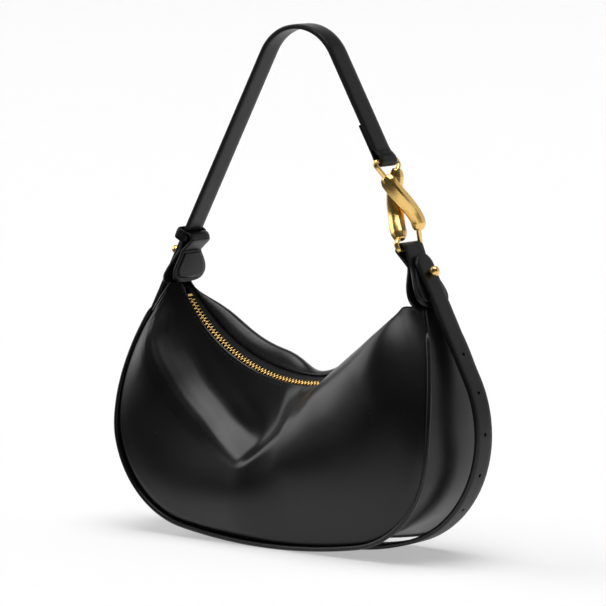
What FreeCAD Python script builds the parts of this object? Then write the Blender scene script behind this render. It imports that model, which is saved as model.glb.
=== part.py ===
"""Half moon shoulder bag of black leather with a zipped crescent top.

The frame has +X to the wearer's right, +Z up and the front of the bag towards -Y.
The origin is the middle of the flat strap run that the bag stands on.
All lengths are in millimetres.
"""
import FreeCAD, Part
import math
import os

from FreeCAD import Vector

# Crescent top: the zip lies on one arc between the two upper corners
zip_half_span = 123.0
zip_end_height = 203.0
zip_sag = 71.0

# Half moon outline of the front, back and gusset
half_width = 159.0
side_height = 92.5
corner_round_share = 0.928
corner_run = 8.0
corner_rise = 1.0
front_half_depth = 47.5
back_half_depth = 35.0
corner_half_depth = 13.0
full_depth_height = 75.0

# Leather body
leather = 1.8
lining = 0.8
layer_gap = 0.3
piping_radius = 2.0
front_lip = 6.6
back_lip = 8.5
belly_swell = 29.0
back_swell = 20.0
front_lift = 30.0
back_lift_middle = 24.0
back_lift_side = 26.0
gusset_swell = 3.0
base_rise = 6.5

# Where the front panel folds over into a V and where the back panel rolls
fold_middle_share = -0.08
fold_width_share = 0.14
fold_depth_share = 0.23
fold_left_share = 0.315
fold_right_share = 0.09
fold_turn_share = -0.02
fold_turn_width_share = 0.09
fold_corner_share = 0.5
front_lift_start_share = 0.12
back_roll_share = 0.3
back_dip_share = 0.08
back_dip_width_share = 0.2
lip_draw_share = 0.12

# Hidden pieces
board_thickness = 1.5
board_length_share = 0.22
board_width_share = 0.72
pocket_thickness = 0.8
pocket_width_share = 0.28
pocket_top_share = 0.34
pocket_bottom_share = 0.72
lining_top_share = 0.08
lining_bottom_share = 0.98
lining_end_share = 0.88
piping_end_share = 0.93

# One long strap: handle, buttoned tail and the flat run under the bag
strap_width = 20.0
strap_thickness = 3.7
strap_layer = 2.0
tail_clearance = 21.0
tail_side_rise = 9.0
tail_side_round_share = 0.927
tail_flat_share = 0.314
tail_lift_angle = 18.0
tail_hinge_angle = 10.0
tail_tip_length = 18.0
handle_height = 421.0
apex_radius = 40.0
fold_end_length = 34.0
hole_radius = 1.6
hole_pitch = 33.0
hole_count = 5
first_hole_drop = 70.0
hole_end_share = 0.2

# Tabs that hold the strap at the two upper corners
tab_leaf = 2.2
tab_patch = 1.6
tab_length = 37.0
tab_half_width = 20.5
tab_margin = 3.4
tab_width_shares = (0.48, 0.52, 0.72, 0.97, 0.98, 0.72)
tab_length_shares = (1.0, 0.88, 0.66, 0.42, 0.22, 0.055)
core_half_width = 8.0
core_top_share = 0.8
loop_bore = 3.4
loop_rise = 15.0
keeper_thickness = 1.6
keeper_height = 10.0
keeper_bar_height = 5.2
keeper_run = 15.0

# Ball studs with a flat screw behind the leather
ball_radius = 3.5
stud_post_radius = 1.3
stud_hole_radius = 1.9
stud_drop = 11.0
screw_head_radius = 3.6
screw_head_thickness = 0.9

# Twisted link between the handle and the right tab
link_length = 72.5
link_lean = 18.9
link_wire_radius = 2.0
link_half_spread = 8.5
link_eye_half_spread = 12.4
bar_half_width = 7.2
bar_half_thickness = 4.8
bar_crossing_gap = 0.6
long_bar_ends = 7.5
short_bar_ends = 12.5
bar_section_count = 13

# Zip fastener
tape_depth = 2.4
tape_thickness = 0.6
tape_gap = 0.3
tape_seat_gap = 0.6
chain_half_width = 2.8
tooth_height = 2.4
tooth_length = 1.3
tooth_pitch = 3.2
chain_end_share = 0.92
slider_length = 9.0
slider_half_width = 3.6
slider_plate = 1.1
slider_clearance = 0.35
slider_place_share = 0.95
slider_post_length = 3.0
slider_post_half_width = 0.8
bridge_length = 6.0
bridge_height = 2.6
bridge_wall = 1.0
bridge_half_width = 0.9
pull_pin_radius = 0.6
pull_arm = 1.0
pull_neck = 6.0
pull_length = 24.0
pull_half_width = 3.0
pull_rest_angle = 4.0
stop_length = 2.0

# How finely the sewn surfaces are sampled
along_count = 41
across_count = 13
tape_count = 5
piping_count = 41
panel_count = 23
panel_crowding_share = 1.6
run_shares = (0, 0.5, 1)
slope_step_share = 0.002
ruled_forward = 1
x_axis = Vector(1, 0, 0)
y_axis = Vector(0, 1, 0)
origin = Vector(0, 0, 0)


def arc_from_sag(half_chord, sag):
    """Radius of the arc over a chord with this half length and this sag."""
    return (half_chord * half_chord + sag * sag) / (2 * sag)


zip_radius = arc_from_sag(zip_half_span, zip_sag)
zip_centre_height = zip_end_height - zip_sag + zip_radius
zip_half_angle = math.asin(zip_half_span / zip_radius)

# The outline is a base arc, a corner arc and a side arc that meet smoothly
corner_x = zip_half_span + corner_run
corner_z = zip_end_height + corner_rise
base_height = side_height - piping_radius
corner_radius = base_height * corner_round_share
corner_centre_x = half_width - corner_radius
base_drop = base_height - corner_radius
base_radius = (corner_centre_x ** 2 + base_height ** 2 - corner_radius ** 2) / (2 * base_drop)
base_turn = math.atan2(corner_centre_x, base_radius - base_height)
side_radius = arc_from_sag(corner_z - side_height, half_width - corner_x)
side_turn = math.asin((corner_z - side_height) / side_radius)
base_length = base_radius * base_turn
corner_length = corner_radius * (math.pi / 2 - base_turn)
side_length = side_radius * side_turn
outline_length = base_length + corner_length + side_length


def outline(t):
    """Point of the half moon outline and its outward normal, as (x, z, nx, nz), for t from -1 to 1."""
    side = 1 if t >= 0 else -1
    run = abs(t) * outline_length
    if run <= base_length:
        turn = run / base_radius
        x = base_radius * math.sin(turn)
        z = piping_radius + base_radius * (1 - math.cos(turn))
        angle = turn
    elif run <= base_length + corner_length:
        angle = base_turn + (run - base_length) / corner_radius
        x = corner_centre_x + corner_radius * math.sin(angle)
        z = side_height - corner_radius * math.cos(angle)
    else:
        turn = (run - base_length - corner_length) / side_radius
        angle = math.pi / 2 + turn
        x = half_width - side_radius * (1 - math.cos(turn))
        z = side_height + side_radius * math.sin(turn)
    return side * x, z, side * math.sin(angle), -math.cos(angle)


def zip_point(t, depth=0.0):
    """Point of the zip arc, a depth below the lips, as (x, z)."""
    radius = zip_radius + depth
    angle = t * zip_half_angle
    return radius * math.sin(angle), zip_centre_height - radius * math.cos(angle)


def depth_at(z, facing):
    """Depth from the zip's plane to the front piping (facing below 0) or the back piping at a height."""
    full_depth = front_half_depth if facing < 0 else back_half_depth
    share = min(1.0, max(0.0, (corner_z - z) / (corner_z - full_depth_height)))
    return corner_half_depth + (full_depth - corner_half_depth) * math.sin(share * math.pi / 2)


def hump(s, peak):
    """Smooth rise from 0 to 1 at the peak and back to 0, for s from 0 to 1."""
    bias = s / ((1 / (1 - peak) - 2) * (1 - s) + 1)
    return math.sin(math.pi * min(1.0, max(0.0, bias)))


def fade(t):
    """Share of a swell that is left along the bag, which falls smoothly to 0 at the two corners."""
    return (1 - t ** 6) ** 2


def panel_point(t, s, facing, lip, swell, lift, peak):
    """Point of a front or back panel between the zip lip (s = 0) and the piping (s = 1)."""
    top_x, top_z = zip_point(t)
    edge_x, edge_z, normal_x, normal_z = outline(t)
    inset = piping_radius + layer_gap
    edge_x -= inset * normal_x
    edge_z -= inset * normal_z
    rise = lift * hump(s, peak) / math.hypot(top_x - edge_x, top_z - edge_z)
    x = top_x + (edge_x - top_x) * s + (top_x - edge_x) * rise
    z = top_z + (edge_z - top_z) * s + (top_z - edge_z) * rise
    y = lip + (depth_at(outline(t)[1], facing) - lip) * s + swell * hump(s, peak)
    return Vector(x, facing * y, z)


def front_surface(t, s):
    """Front panel, which folds over into a V in the middle."""
    on_left = 1 / (1 + math.exp((t - fold_turn_share) / fold_turn_width_share))
    middle = math.exp(-((t - fold_middle_share) / fold_width_share) ** 2)
    branch = fold_right_share + (fold_left_share - fold_right_share) * on_left
    peak = branch + fold_depth_share * middle + fold_corner_share * t ** 6
    lift = front_lift * max(0.0, t) ** 2 / (abs(t) + front_lift_start_share) * (1 - t ** 12)
    return panel_point(t, s, -1, front_lip * (1 - lip_draw_share * t * t), belly_swell * fade(t), lift, peak)


def back_surface(t, s):
    """Back panel, which rolls up above the zip before it falls, least near the middle."""
    dip = math.exp(-((t - back_dip_share) / back_dip_width_share) ** 2)
    lift = (back_lift_middle + back_lift_side * (1 - dip)) * (1 - abs(t) ** 3) * (1 - t ** 10)
    lip = back_lip * (1 - lip_draw_share * t * t)
    return panel_point(t, s, 1, lip, back_swell * fade(t), lift, back_roll_share)


def gusset_surface(t, s):
    """Gusset from the front piping (s = 0) to the back piping (s = 1), hollow under the bag."""
    x, z, normal_x, normal_z = outline(t)
    across = 2 * s - 1
    under = max(0.0, -normal_z) ** 2
    swell = (gusset_swell - (gusset_swell + base_rise) * under) * (1 - across * across) * fade(t)
    y = (depth_at(z, across) - piping_radius - layer_gap) * across
    return Vector(x + swell * normal_x, y, z + swell * normal_z)


def inner_normal(surface, t, s):
    """Unit normal of a sewn surface, along t crossed with along s."""
    t0 = max(-1.0, t - slope_step_share)
    t1 = min(1.0, t + slope_step_share)
    s0 = max(0.0, s - slope_step_share)
    s1 = min(1.0, s + slope_step_share)
    along = surface(t1, s) - surface(t0, s)
    across = surface(t, s1) - surface(t, s0)
    normal = along.cross(across)
    normal.normalize()
    return normal


def spread(low, high, count, crowding=1.0):
    """Values from low to high, crowded towards low where crowding is over 1."""
    return [low + (high - low) * (i / (count - 1)) ** crowding for i in range(count)]


def patch_solid(outer, inner):
    """Closed solid between two grids of points that face each other."""
    surfaces = []
    for grid in (outer, inner):
        surface = Part.BSplineSurface()
        surface.interpolate(grid)
        surfaces.append(surface)
    faces = [surface.toShape() for surface in surfaces]
    first, second = surfaces
    u0, u1, v0, v1 = first.bounds()
    p0, p1, q0, q1 = second.bounds()
    borders = [(first.uIso(u0), second.uIso(p0)), (first.uIso(u1), second.uIso(p1))]
    borders += [(first.vIso(v0), second.vIso(q0)), (first.vIso(v1), second.vIso(q1))]
    faces += [Part.makeRuledSurface(a.toShape(), b.toShape(), ruled_forward) for a, b in borders]
    shell = Part.Shell(faces)
    shell.sewShape()
    solid = Part.Solid(shell)
    if solid.Volume < 0:
        solid.reverse()
    return solid


def sheet(surface, ts, ss, depth, thickness, inwards):
    """Sewn piece at a depth below a surface; inwards is 1 where the surface's normal points into the bag."""
    outer = []
    inner = []
    for t in ts:
        points = [(surface(t, s), inner_normal(surface, t, s) * inwards) for s in ss]
        outer.append([point + normal * depth for point, normal in points])
        inner.append([point + normal * (depth + thickness) for point, normal in points])
    return patch_solid(outer, inner)


def save(name, shape):
    """Write one named piece."""
    shape.exportStep("parts/" + name + ".step")
    print(name, len(shape.Solids), round(shape.Volume, 1), shape.isValid())


def save_pair(name, shape):
    """Write a piece of the right side and its mirror image on the left."""
    save("right_" + name, shape)
    save("left_" + name, left_of(shape))


def left_of(shape):
    """Mirror image of a piece in the bag's middle plane."""
    return shape.mirror(origin, x_axis)


os.makedirs("parts", exist_ok=True)

# Leather panels, lining, base board and slip pocket
all_ts = spread(-1.0, 1.0, along_count)
panel_ss = spread(0.0, 1.0, panel_count, panel_crowding_share)
even_ss = spread(0.0, 1.0, across_count)
lining_ts = spread(-lining_end_share, lining_end_share, along_count)
lining_ss = spread(lining_top_share, lining_bottom_share, panel_count)
lining_depth = leather + 2 * layer_gap
inside_depth = lining_depth + lining + layer_gap


def lining_gusset_surface(t, s):
    """Gusset drawn in so that its lining stays between the front and back linings."""
    half = depth_at(outline(t)[1], s - 0.5) - piping_radius - layer_gap
    return gusset_surface(t, 0.5 + (s - 0.5) * (half - lining_depth) / half)


def board_surface(t, s):
    """Middle part of the gusset, where the base board lies."""
    return gusset_surface(t, 0.5 + (s - 0.5) * board_width_share)


save("front_panel", sheet(front_surface, all_ts, panel_ss, 0.0, leather, 1))
save("back_panel", sheet(back_surface, all_ts, panel_ss, 0.0, leather, -1))
save("gusset", sheet(gusset_surface, all_ts, even_ss, 0.0, leather, 1))
save("front_lining", sheet(front_surface, lining_ts, lining_ss, lining_depth, lining, 1))
save("back_lining", sheet(back_surface, lining_ts, lining_ss, lining_depth, lining, -1))
save("gusset_lining", sheet(lining_gusset_surface, lining_ts, even_ss, lining_depth, lining, 1))
board_ts = spread(-board_length_share, board_length_share, across_count)
save("base_board", sheet(board_surface, board_ts, even_ss, inside_depth, board_thickness, 1))
pocket_ts = spread(-pocket_width_share, pocket_width_share, across_count)
pocket_ss = spread(pocket_top_share, pocket_bottom_share, across_count)
save("slip_pocket", sheet(back_surface, pocket_ts, pocket_ss, inside_depth, pocket_thickness, -1))


def piping(facing):
    """Round welt in the seam between a panel and the gusset."""
    circles = []
    for t in spread(-piping_end_share, piping_end_share, piping_count):
        ends = []
        for place in (t - slope_step_share, t + slope_step_share, t):
            x, z = outline(place)[:2]
            ends.append(Vector(x, facing * depth_at(z, facing), z))
        circles.append(Part.Wire([Part.makeCircle(piping_radius, ends[2], ends[1] - ends[0])]))
    return Part.makeLoft(circles, True)


save("front_piping", piping(-1))
save("back_piping", piping(1))


# The strap runs in the XZ plane as straight runs and arcs, each a tuple (x, z, heading, length, turn)
def walk(x, z, heading, moves):
    """Chain of runs from a point; a move is (length, turn), and a turn of 0 is straight."""
    chain = []
    for length, turn in moves:
        chain.append((x, z, heading, length, turn))
        x, z, heading = run_point(chain[-1], length)
    return chain


def run_point(run, distance, offset=0.0):
    """Point at a distance along a run, offset to its left, as (x, z, heading)."""
    x, z, heading, length, turn = run
    if turn == 0:
        x += distance * math.cos(heading)
        z += distance * math.sin(heading)
    else:
        radius = length / turn
        end = heading + turn * distance / length
        x += radius * (math.sin(end) - math.sin(heading))
        z += radius * (math.cos(heading) - math.cos(end))
        heading = end
    return x - offset * math.sin(heading), z + offset * math.cos(heading), heading


def chain_point(chain, distance):
    """Point at a distance along a whole chain, as (x, z, heading)."""
    for run in chain:
        if distance <= run[3]:
            break
        distance -= run[3]
    return run_point(run, distance)


def band(chain, thickness, width, shift=0.0):
    """Flat strap of a width along Y that follows a chain, shifted to its left."""
    edges = []
    corners = []
    for offset in (shift - thickness / 2, shift + thickness / 2):
        for run in chain:
            places = [run_point(run, run[3] * share, offset) for share in run_shares]
            first, middle, last = [Vector(x, -width / 2, z) for x, z, _ in places]
            corners.append((first, last))
            if run[4] == 0:
                edges.append(Part.LineSegment(first, last).toShape())
            else:
                edges.append(Part.Arc(first, middle, last).toShape())
    count = len(chain)
    edges.append(Part.LineSegment(corners[0][0], corners[count][0]).toShape())
    edges.append(Part.LineSegment(corners[count - 1][1], corners[-1][1]).toShape())
    face = Part.Face(Part.Wire(Part.__sortEdges__(edges)))
    return face.extrude(y_axis * width)


def arc_move(radius, turn):
    """Move along an arc, to the left where the turn is positive."""
    return radius * abs(turn), turn


# Tail of the strap: flat under the bag, round the corner and up beside the tab, made for the right side
half_strap = strap_thickness / 2
half_strap_width = strap_width / 2
tab_stack = layer_gap + tab_leaf + tab_patch + layer_gap + half_strap
tail_x = half_width + tail_clearance
tail_z = side_height + tail_side_rise
tail_side_radius = (corner_z - tail_z) * tail_side_round_share
tail_flat = half_width * tail_flat_share
lift_turn = math.radians(tail_lift_angle)
hinge_turn = math.radians(tail_hinge_angle)
reach = tail_x - tail_flat
climb = tail_z - half_strap
lift_sine = math.sin(lift_turn)
lift_cosine = math.cos(lift_turn)
scale = lift_sine * lift_cosine - (1 - lift_sine) * (1 - lift_cosine)
lift_radius = (reach * lift_cosine - (1 - lift_sine) * climb) / scale
bend_radius = (lift_sine * climb - (1 - lift_cosine) * reach) / scale

# The tail runs straight past the corner, a tab's thickness outside it, as a tangent of its side arc
from_x = corner_x - (tail_x - tail_side_radius)
from_z = corner_z - tail_z
corner_distance = math.hypot(from_x, from_z)
lean = math.atan2(from_z, from_x) - math.acos((tail_side_radius - tab_stack) / corner_distance)
upward = Vector(-math.sin(lean), 0, math.cos(lean))
outward = Vector(math.cos(lean), 0, math.sin(lean))
tail_pass = Vector(corner_x + tab_stack / math.cos(lean), 0, corner_z)
arc_end = Vector(tail_x - tail_side_radius * (1 - math.cos(lean)), 0, tail_z + tail_side_radius * math.sin(lean))
straight = (tail_pass - arc_end).Length


def beside_tab(height, offset):
    """Point beside the right tab, a height above the corner and an offset out from the strap's middle."""
    return tail_pass + upward * height + outward * offset


stud_height = tab_length - stud_drop
tip_height = stud_height + tail_tip_length
bend_turn = math.pi / 2 - lift_turn - hinge_turn
lower_moves = [arc_move(lift_radius, lift_turn), arc_move(bend_radius, bend_turn)]
side_moves = [arc_move(bend_radius, hinge_turn), arc_move(tail_side_radius, lean)]
lower_tail = walk(tail_flat, half_strap, 0.0, lower_moves)
hinge_x, hinge_z, hinge_heading = run_point(lower_tail[-1], lower_tail[-1][3])
left_tail_moves = lower_moves + side_moves + [(straight + tab_length - layer_gap, 0)]
left_tail = walk(tail_flat, half_strap, 0.0, left_tail_moves)
hinge_gap_x = hinge_x + layer_gap * math.cos(hinge_heading)
hinge_gap_z = hinge_z + layer_gap * math.sin(hinge_heading)
tail_end_moves = side_moves + [(straight + tip_height - half_strap_width, 0)]
tail_end = walk(hinge_gap_x, hinge_gap_z, hinge_heading, tail_end_moves)
tail_end_length = sum(run[3] for run in tail_end)
flat_run = walk(-tail_flat, half_strap, 0.0, [(2 * tail_flat, 0)])


def strap_hole(chain, distance, radius):
    """Cutter for a round hole through the strap at a distance along its chain."""
    x, z, heading = chain_point(chain, distance)
    normal = Vector(-math.sin(heading), 0, math.cos(heading))
    start = Vector(x, 0, z) - normal * strap_thickness
    return Part.makeCylinder(radius, 2 * strap_thickness, start, normal)


tip_centre = tail_pass + upward * (tip_height - half_strap_width)
tip = Part.makeCylinder(half_strap_width, strap_thickness, tip_centre - outward * half_strap, outward)
stud_hole_start = beside_tab(stud_height, -strap_thickness)
stud_hole = Part.makeCylinder(stud_hole_radius, 2 * strap_thickness, stud_hole_start, outward)
strap_tail_end = band(tail_end, strap_thickness, strap_width).fuse(tip).removeSplitter().cut(stud_hole)
first_hole = tail_end_length - (tail_tip_length - half_strap_width) - first_hole_drop
hole_runs = [first_hole - i * hole_pitch for i in range(hole_count)]
for distance in hole_runs:
    if distance > hole_pitch * hole_end_share:
        strap_tail_end = strap_tail_end.cut(strap_hole(tail_end, distance, hole_radius))
strap_tail_right = band(lower_tail, strap_thickness, strap_width)
lower_length = sum(run[3] for run in lower_tail)
for distance in hole_runs:
    if distance < -hole_pitch * hole_end_share:
        strap_tail_right = strap_tail_right.cut(strap_hole(lower_tail, lower_length + distance, hole_radius))
strap_tail_left = left_of(band(left_tail, strap_thickness, strap_width).cut(stud_hole))
save("strap_base", band(flat_run, strap_thickness, strap_width))
save("strap_tail_right", strap_tail_right)
save("strap_tail_end", strap_tail_end)
save("strap_tail_left", strap_tail_left)


# Tabs: an inner and an outer leaf, each with a patch, hold the corner of the bag between them
def paddle(half_width_here, length, base, up, through, thickness):
    """Teardrop leather plate whose lowest point is base, which widens upwards and narrows to a neck."""
    right = [(half_width_here * w, length * h) for w, h in zip(tab_width_shares, tab_length_shares)]
    places = right + [(0, 0)] + [(-w, h) for w, h in reversed(right)]
    points = [base + y_axis * w + up * h for w, h in places]
    curve = Part.BSplineCurve()
    curve.interpolate(points)
    top = Part.LineSegment(points[-1], points[0]).toShape()
    face = Part.Face(Part.Wire([curve.toShape(), top]))
    return face.extrude(through * thickness)


leaf_face = half_strap + layer_gap + tab_patch + tab_leaf
outer_base = beside_tab(0, -leaf_face)
inner_top = beside_tab(tab_length - 2 * layer_gap, -leaf_face - layer_gap)
inner_base = Vector(zip_half_span - layer_gap, 0, zip_end_height + corner_rise)
inner_up = inner_top - inner_base
inner_length = inner_up.Length
inner_up.normalize()
inner_in = inner_up.cross(y_axis)
patch_half_width = tab_half_width - tab_margin
patch_length_share = 1 - 2 * tab_margin / tab_length
stud_seat = beside_tab(stud_height, -half_strap - layer_gap)
screw_seat = beside_tab(stud_height, -leaf_face)
screw_hole = Part.makeCylinder(stud_hole_radius, tab_leaf + tab_patch, screw_seat, outward)
outer_leaf = paddle(tab_half_width, tab_length, outer_base, upward, outward, tab_leaf).cut(screw_hole)
patch_base = outer_base + outward * tab_leaf + upward * tab_margin
patch_length = tab_length * patch_length_share
outer_patch = paddle(patch_half_width, patch_length, patch_base, upward, outward, tab_patch)
inner_leaf = paddle(tab_half_width, inner_length, inner_base, inner_up, inner_in, tab_leaf)
inner_patch_base = inner_base + inner_in * tab_leaf + inner_up * tab_margin
inner_patch_length = inner_length * patch_length_share
inner_patch = paddle(patch_half_width, inner_patch_length, inner_patch_base, inner_up, inner_in, tab_patch)
save_pair("tab_outer_leaf", outer_leaf)
save_pair("tab_outer_patch", outer_patch.cut(screw_hole))
save_pair("tab_inner_leaf", inner_leaf)
save_pair("tab_inner_patch", inner_patch)

# Stiff core that fills the wedge between the two leaves, with a recess for the screw's head
core_side = Vector(0, core_half_width, 0)
core_face = leaf_face + layer_gap
core_low = (layer_gap + core_face * math.sin(lean)) / math.cos(lean)
core_high = tab_length * core_top_share
core_back = inner_base - inner_in * layer_gap
core_points = [beside_tab(core_low, -core_face), beside_tab(core_high, -core_face)]
core_points += [core_back + inner_up * inner_length * core_top_share, core_back + inner_up * 2 * layer_gap]
core_outline = Part.makePolygon([point - core_side for point in core_points + core_points[:1]])
recess_depth = screw_head_thickness + layer_gap
recess_base = screw_seat - outward * recess_depth
recess = Part.makeCylinder(screw_head_radius + layer_gap, recess_depth, recess_base, outward)
save_pair("tab_core", Part.Face(core_outline).extrude(core_side * 2).cut(recess))

# Ball studs and their screws
post_length = strap_thickness + 2 * layer_gap + ball_radius
stud = Part.makeCylinder(stud_post_radius, post_length, stud_seat, outward)
stud = stud.fuse(Part.makeSphere(ball_radius, stud_seat + outward * post_length)).removeSplitter()
screw_head = Part.makeCylinder(screw_head_radius, screw_head_thickness, screw_seat, outward * -1)
screw = Part.makeCylinder(stud_post_radius, tab_leaf + tab_patch, screw_seat, outward).fuse(screw_head)
save_pair("stud", stud)
save_pair("stud_screw", screw.removeSplitter())

# Leather loop at the top of each tab
loop_centre = beside_tab(tab_length + loop_rise, -half_strap - layer_gap - tab_leaf - loop_bore)
neck = beside_tab(tab_length + layer_gap, -leaf_face - layer_gap / 2)
neck_shift = y_axis * (tab_half_width * tab_width_shares[0])
neck_corners = [neck - outward * tab_leaf, neck + outward * tab_leaf]
neck_corners += [loop_centre + outward * tab_leaf, loop_centre - outward * tab_leaf]
neck_block = Part.Face(Part.makePolygon([p - neck_shift for p in neck_corners + neck_corners[:1]]))
loop_start = loop_centre - y_axis * half_strap_width
tab_loop = Part.makeCylinder(loop_bore + tab_leaf, strap_width, loop_start, y_axis)
tab_loop = tab_loop.fuse(neck_block.extrude(neck_shift * 2))
tab_loop = tab_loop.cut(Part.makeCylinder(loop_bore, strap_width, loop_start, y_axis))
save_pair("tab_loop", tab_loop.removeSplitter())


def upright_box(centre, through, tall, wide, across):
    """Box beside the tab: its thickness lies outwards, its height upwards and its width along Y."""
    corner = centre - outward * (through / 2) - upward * (tall / 2) + y_axis * (across - wide / 2)
    far = corner + outward * through
    corners = [corner, far, far + upward * tall, corner + upward * tall]
    return Part.Face(Part.makePolygon(corners + corners[:1])).extrude(y_axis * wide)


# Keeper ring that holds the strap's left limb against the left loop
keeper_reach = loop_bore + tab_leaf + 2 * layer_gap + strap_thickness + keeper_thickness
keeper_span = strap_width + 2 * layer_gap + 2 * keeper_thickness
side_place = half_strap_width + layer_gap + keeper_thickness / 2
keeper = upright_box(loop_centre, keeper_thickness, keeper_bar_height, keeper_span, 0)
far_side = loop_centre + outward * (keeper_reach - keeper_thickness / 2)
keeper = keeper.fuse(upright_box(far_side, keeper_thickness, keeper_height, keeper_span, 0))
middle = loop_centre + outward * ((keeper_reach - keeper_thickness / 2) / 2)
side_reach = keeper_reach + keeper_thickness / 2
for across in (-side_place, side_place):
    keeper = keeper.fuse(upright_box(middle, side_reach, keeper_bar_height, keeper_thickness, across))
save("strap_keeper", left_of(keeper.removeSplitter()))

# Handle: left limb from the keeper to the apex, right limb from the apex to the link
left_start = beside_tab(tab_length, 0)
run_end = beside_tab(tab_length + keeper_run, 0)
climb_heading = math.pi / 2 + lean
keeper_chain = walk(left_start.x, left_start.z, climb_heading, [(keeper_run - layer_gap, 0)])
save("strap_keeper_run", left_of(band(keeper_chain, strap_thickness, strap_width)))
apex_z = handle_height - half_strap - apex_radius
touch_z = apex_z + apex_radius * math.sin(lean)
limb_length = (touch_z - run_end.z) / math.cos(lean)
touch = run_end + upward * limb_length
apex_x = -touch.x + apex_radius * math.cos(lean)
limb_moves = [(limb_length, 0), arc_move(apex_radius, math.pi / 2 - lean)]
left_limb = walk(run_end.x, run_end.z, climb_heading, limb_moves)
save("strap_handle_left", left_of(band(left_limb, strap_thickness, strap_width)))

link_turn = math.radians(link_lean)
link_up = Vector(-math.sin(link_turn), 0, math.cos(link_turn))
link_out = Vector(math.cos(link_turn), 0, math.sin(link_turn))
upper_eye = loop_centre + link_up * link_length
eye_x = upper_eye.x - apex_x
eye_z = upper_eye.z - apex_z
eye_distance = math.hypot(eye_x, eye_z)
right_lean = math.atan2(eye_z, eye_x) + math.acos(apex_radius / eye_distance)
right_length = math.sqrt(eye_distance ** 2 - apex_radius ** 2)
eye_bore = link_wire_radius + layer_gap
apex_gap_turn = layer_gap / apex_radius
right_moves = [arc_move(apex_radius, right_lean - math.pi / 2 + apex_gap_turn), (right_length, 0)]
right_start_x = apex_x + apex_radius * math.sin(apex_gap_turn)
right_start_z = apex_z + apex_radius * math.cos(apex_gap_turn)
right_limb = walk(right_start_x, right_start_z, -apex_gap_turn, right_moves)
limb_heading = right_lean - math.pi / 2
flap_x = upper_eye.x - fold_end_length * math.cos(limb_heading)
flap_z = upper_eye.z - fold_end_length * math.sin(limb_heading)
flap_chain = walk(flap_x, flap_z, limb_heading, [(fold_end_length, 0)])
eye_start = upper_eye - y_axis * half_strap_width
flap = band(flap_chain, strap_layer, strap_width, -half_strap - strap_layer / 2)
strap_handle_right = band(right_limb, strap_thickness, strap_width).fuse(flap)
eye_fold = Part.makeCylinder(eye_bore + strap_layer, strap_width, eye_start, y_axis)
eye_hole = Part.makeCylinder(eye_bore, strap_width, eye_start, y_axis)
save("strap_handle_right", strap_handle_right.fuse(eye_fold).cut(eye_hole).removeSplitter())


# Twisted link: two bars that cross and a wire eye at each end
def link_point(along, across, out):
    """Point of the link, along from its lower eye, across in Y and out of its plane."""
    return loop_centre + link_up * along + y_axis * across + link_out * out


def twisted_bar(end_gap, side):
    """Bar that crosses from one side to the other and passes in front (side 1) or behind (side -1)."""
    sections = []
    bar_length = link_length - 2 * end_gap
    bulge = bar_half_thickness + bar_crossing_gap / 2
    for share in spread(0.0, 1.0, bar_section_count):
        turn = math.pi * share
        across = side * link_half_spread * math.cos(turn)
        centre = link_point(end_gap + bar_length * share, across, side * bulge * math.sin(turn))
        tangent = link_up * bar_length
        tangent = tangent - y_axis * (side * link_half_spread * math.pi * math.sin(turn))
        tangent = tangent + link_out * (side * bulge * math.pi * math.cos(turn))
        flat = link_out.cross(tangent)
        flat.normalize()
        thick = tangent.cross(flat)
        thick.normalize()
        ellipse = Part.Ellipse(centre + flat * bar_half_width, centre + thick * bar_half_thickness, centre)
        sections.append(Part.Wire([ellipse.toShape()]))
    return Part.makeLoft(sections, True)


def rod(points, radius):
    """Round wire through a list of points."""
    pieces = [Part.makeSphere(radius, point) for point in points[1:-1]]
    for start, end in zip(points[:-1], points[1:]):
        pieces.append(Part.makeCylinder(radius, (end - start).Length, start, end - start))
    return pieces[0].multiFuse(pieces[1:]).removeSplitter()


front_bar = twisted_bar(short_bar_ends, 1)
back_bar = twisted_bar(long_bar_ends, -1)
save("link_front_bar", front_bar)
save("link_back_bar", back_bar)


def link_eye(level, inwards, front_side, leather_radius):
    """Wire eye at one end of the link, from the front bar round the leather to the back bar."""
    front_level = level + inwards * (short_bar_ends + bar_half_width)
    back_level = level + inwards * (long_bar_ends + bar_half_width)
    clear_level = level + inwards * (leather_radius + layer_gap + link_wire_radius)
    points = [link_point(front_level, front_side * link_half_spread, 0)]
    points.append(link_point(clear_level, front_side * link_eye_half_spread, 0))
    points.append(link_point(level, front_side * link_eye_half_spread, 0))
    points.append(link_point(level, -front_side * link_eye_half_spread, 0))
    points.append(link_point(clear_level, -front_side * link_eye_half_spread, 0))
    points.append(link_point(back_level, -front_side * link_half_spread, 0))
    wire = rod(points, link_wire_radius)
    wire = wire.cut(front_bar).cut(back_bar)
    return max(wire.Solids, key=lambda solid: solid.Volume)


save("link_lower_eye", link_eye(0, 1, 1, loop_bore + tab_leaf))
save("link_upper_eye", link_eye(link_length, -1, -1, eye_bore + strap_layer))


# Zip: tapes under the lips, two rows of teeth, stops, slider and pull
def zip_frame(t, depth):
    """Placement on the zip arc with local X along the arc, Y across and Z out of the bag."""
    x, z = zip_point(t, depth)
    turn = FreeCAD.Rotation(y_axis, -math.degrees(t * zip_half_angle))
    return FreeCAD.Placement(Vector(x, 0, z), turn)


chain_depth = tape_depth + tape_thickness / 2


def zip_box(t, length, low_y, high_y, half_height):
    """Box on the zip chain, centred along it and in its thickness."""
    box = Part.makeBox(length, high_y - low_y, 2 * half_height, Vector(-length / 2, low_y, -half_height))
    box.Placement = zip_frame(t, chain_depth)
    return box


zip_length = zip_radius * zip_half_angle


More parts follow.
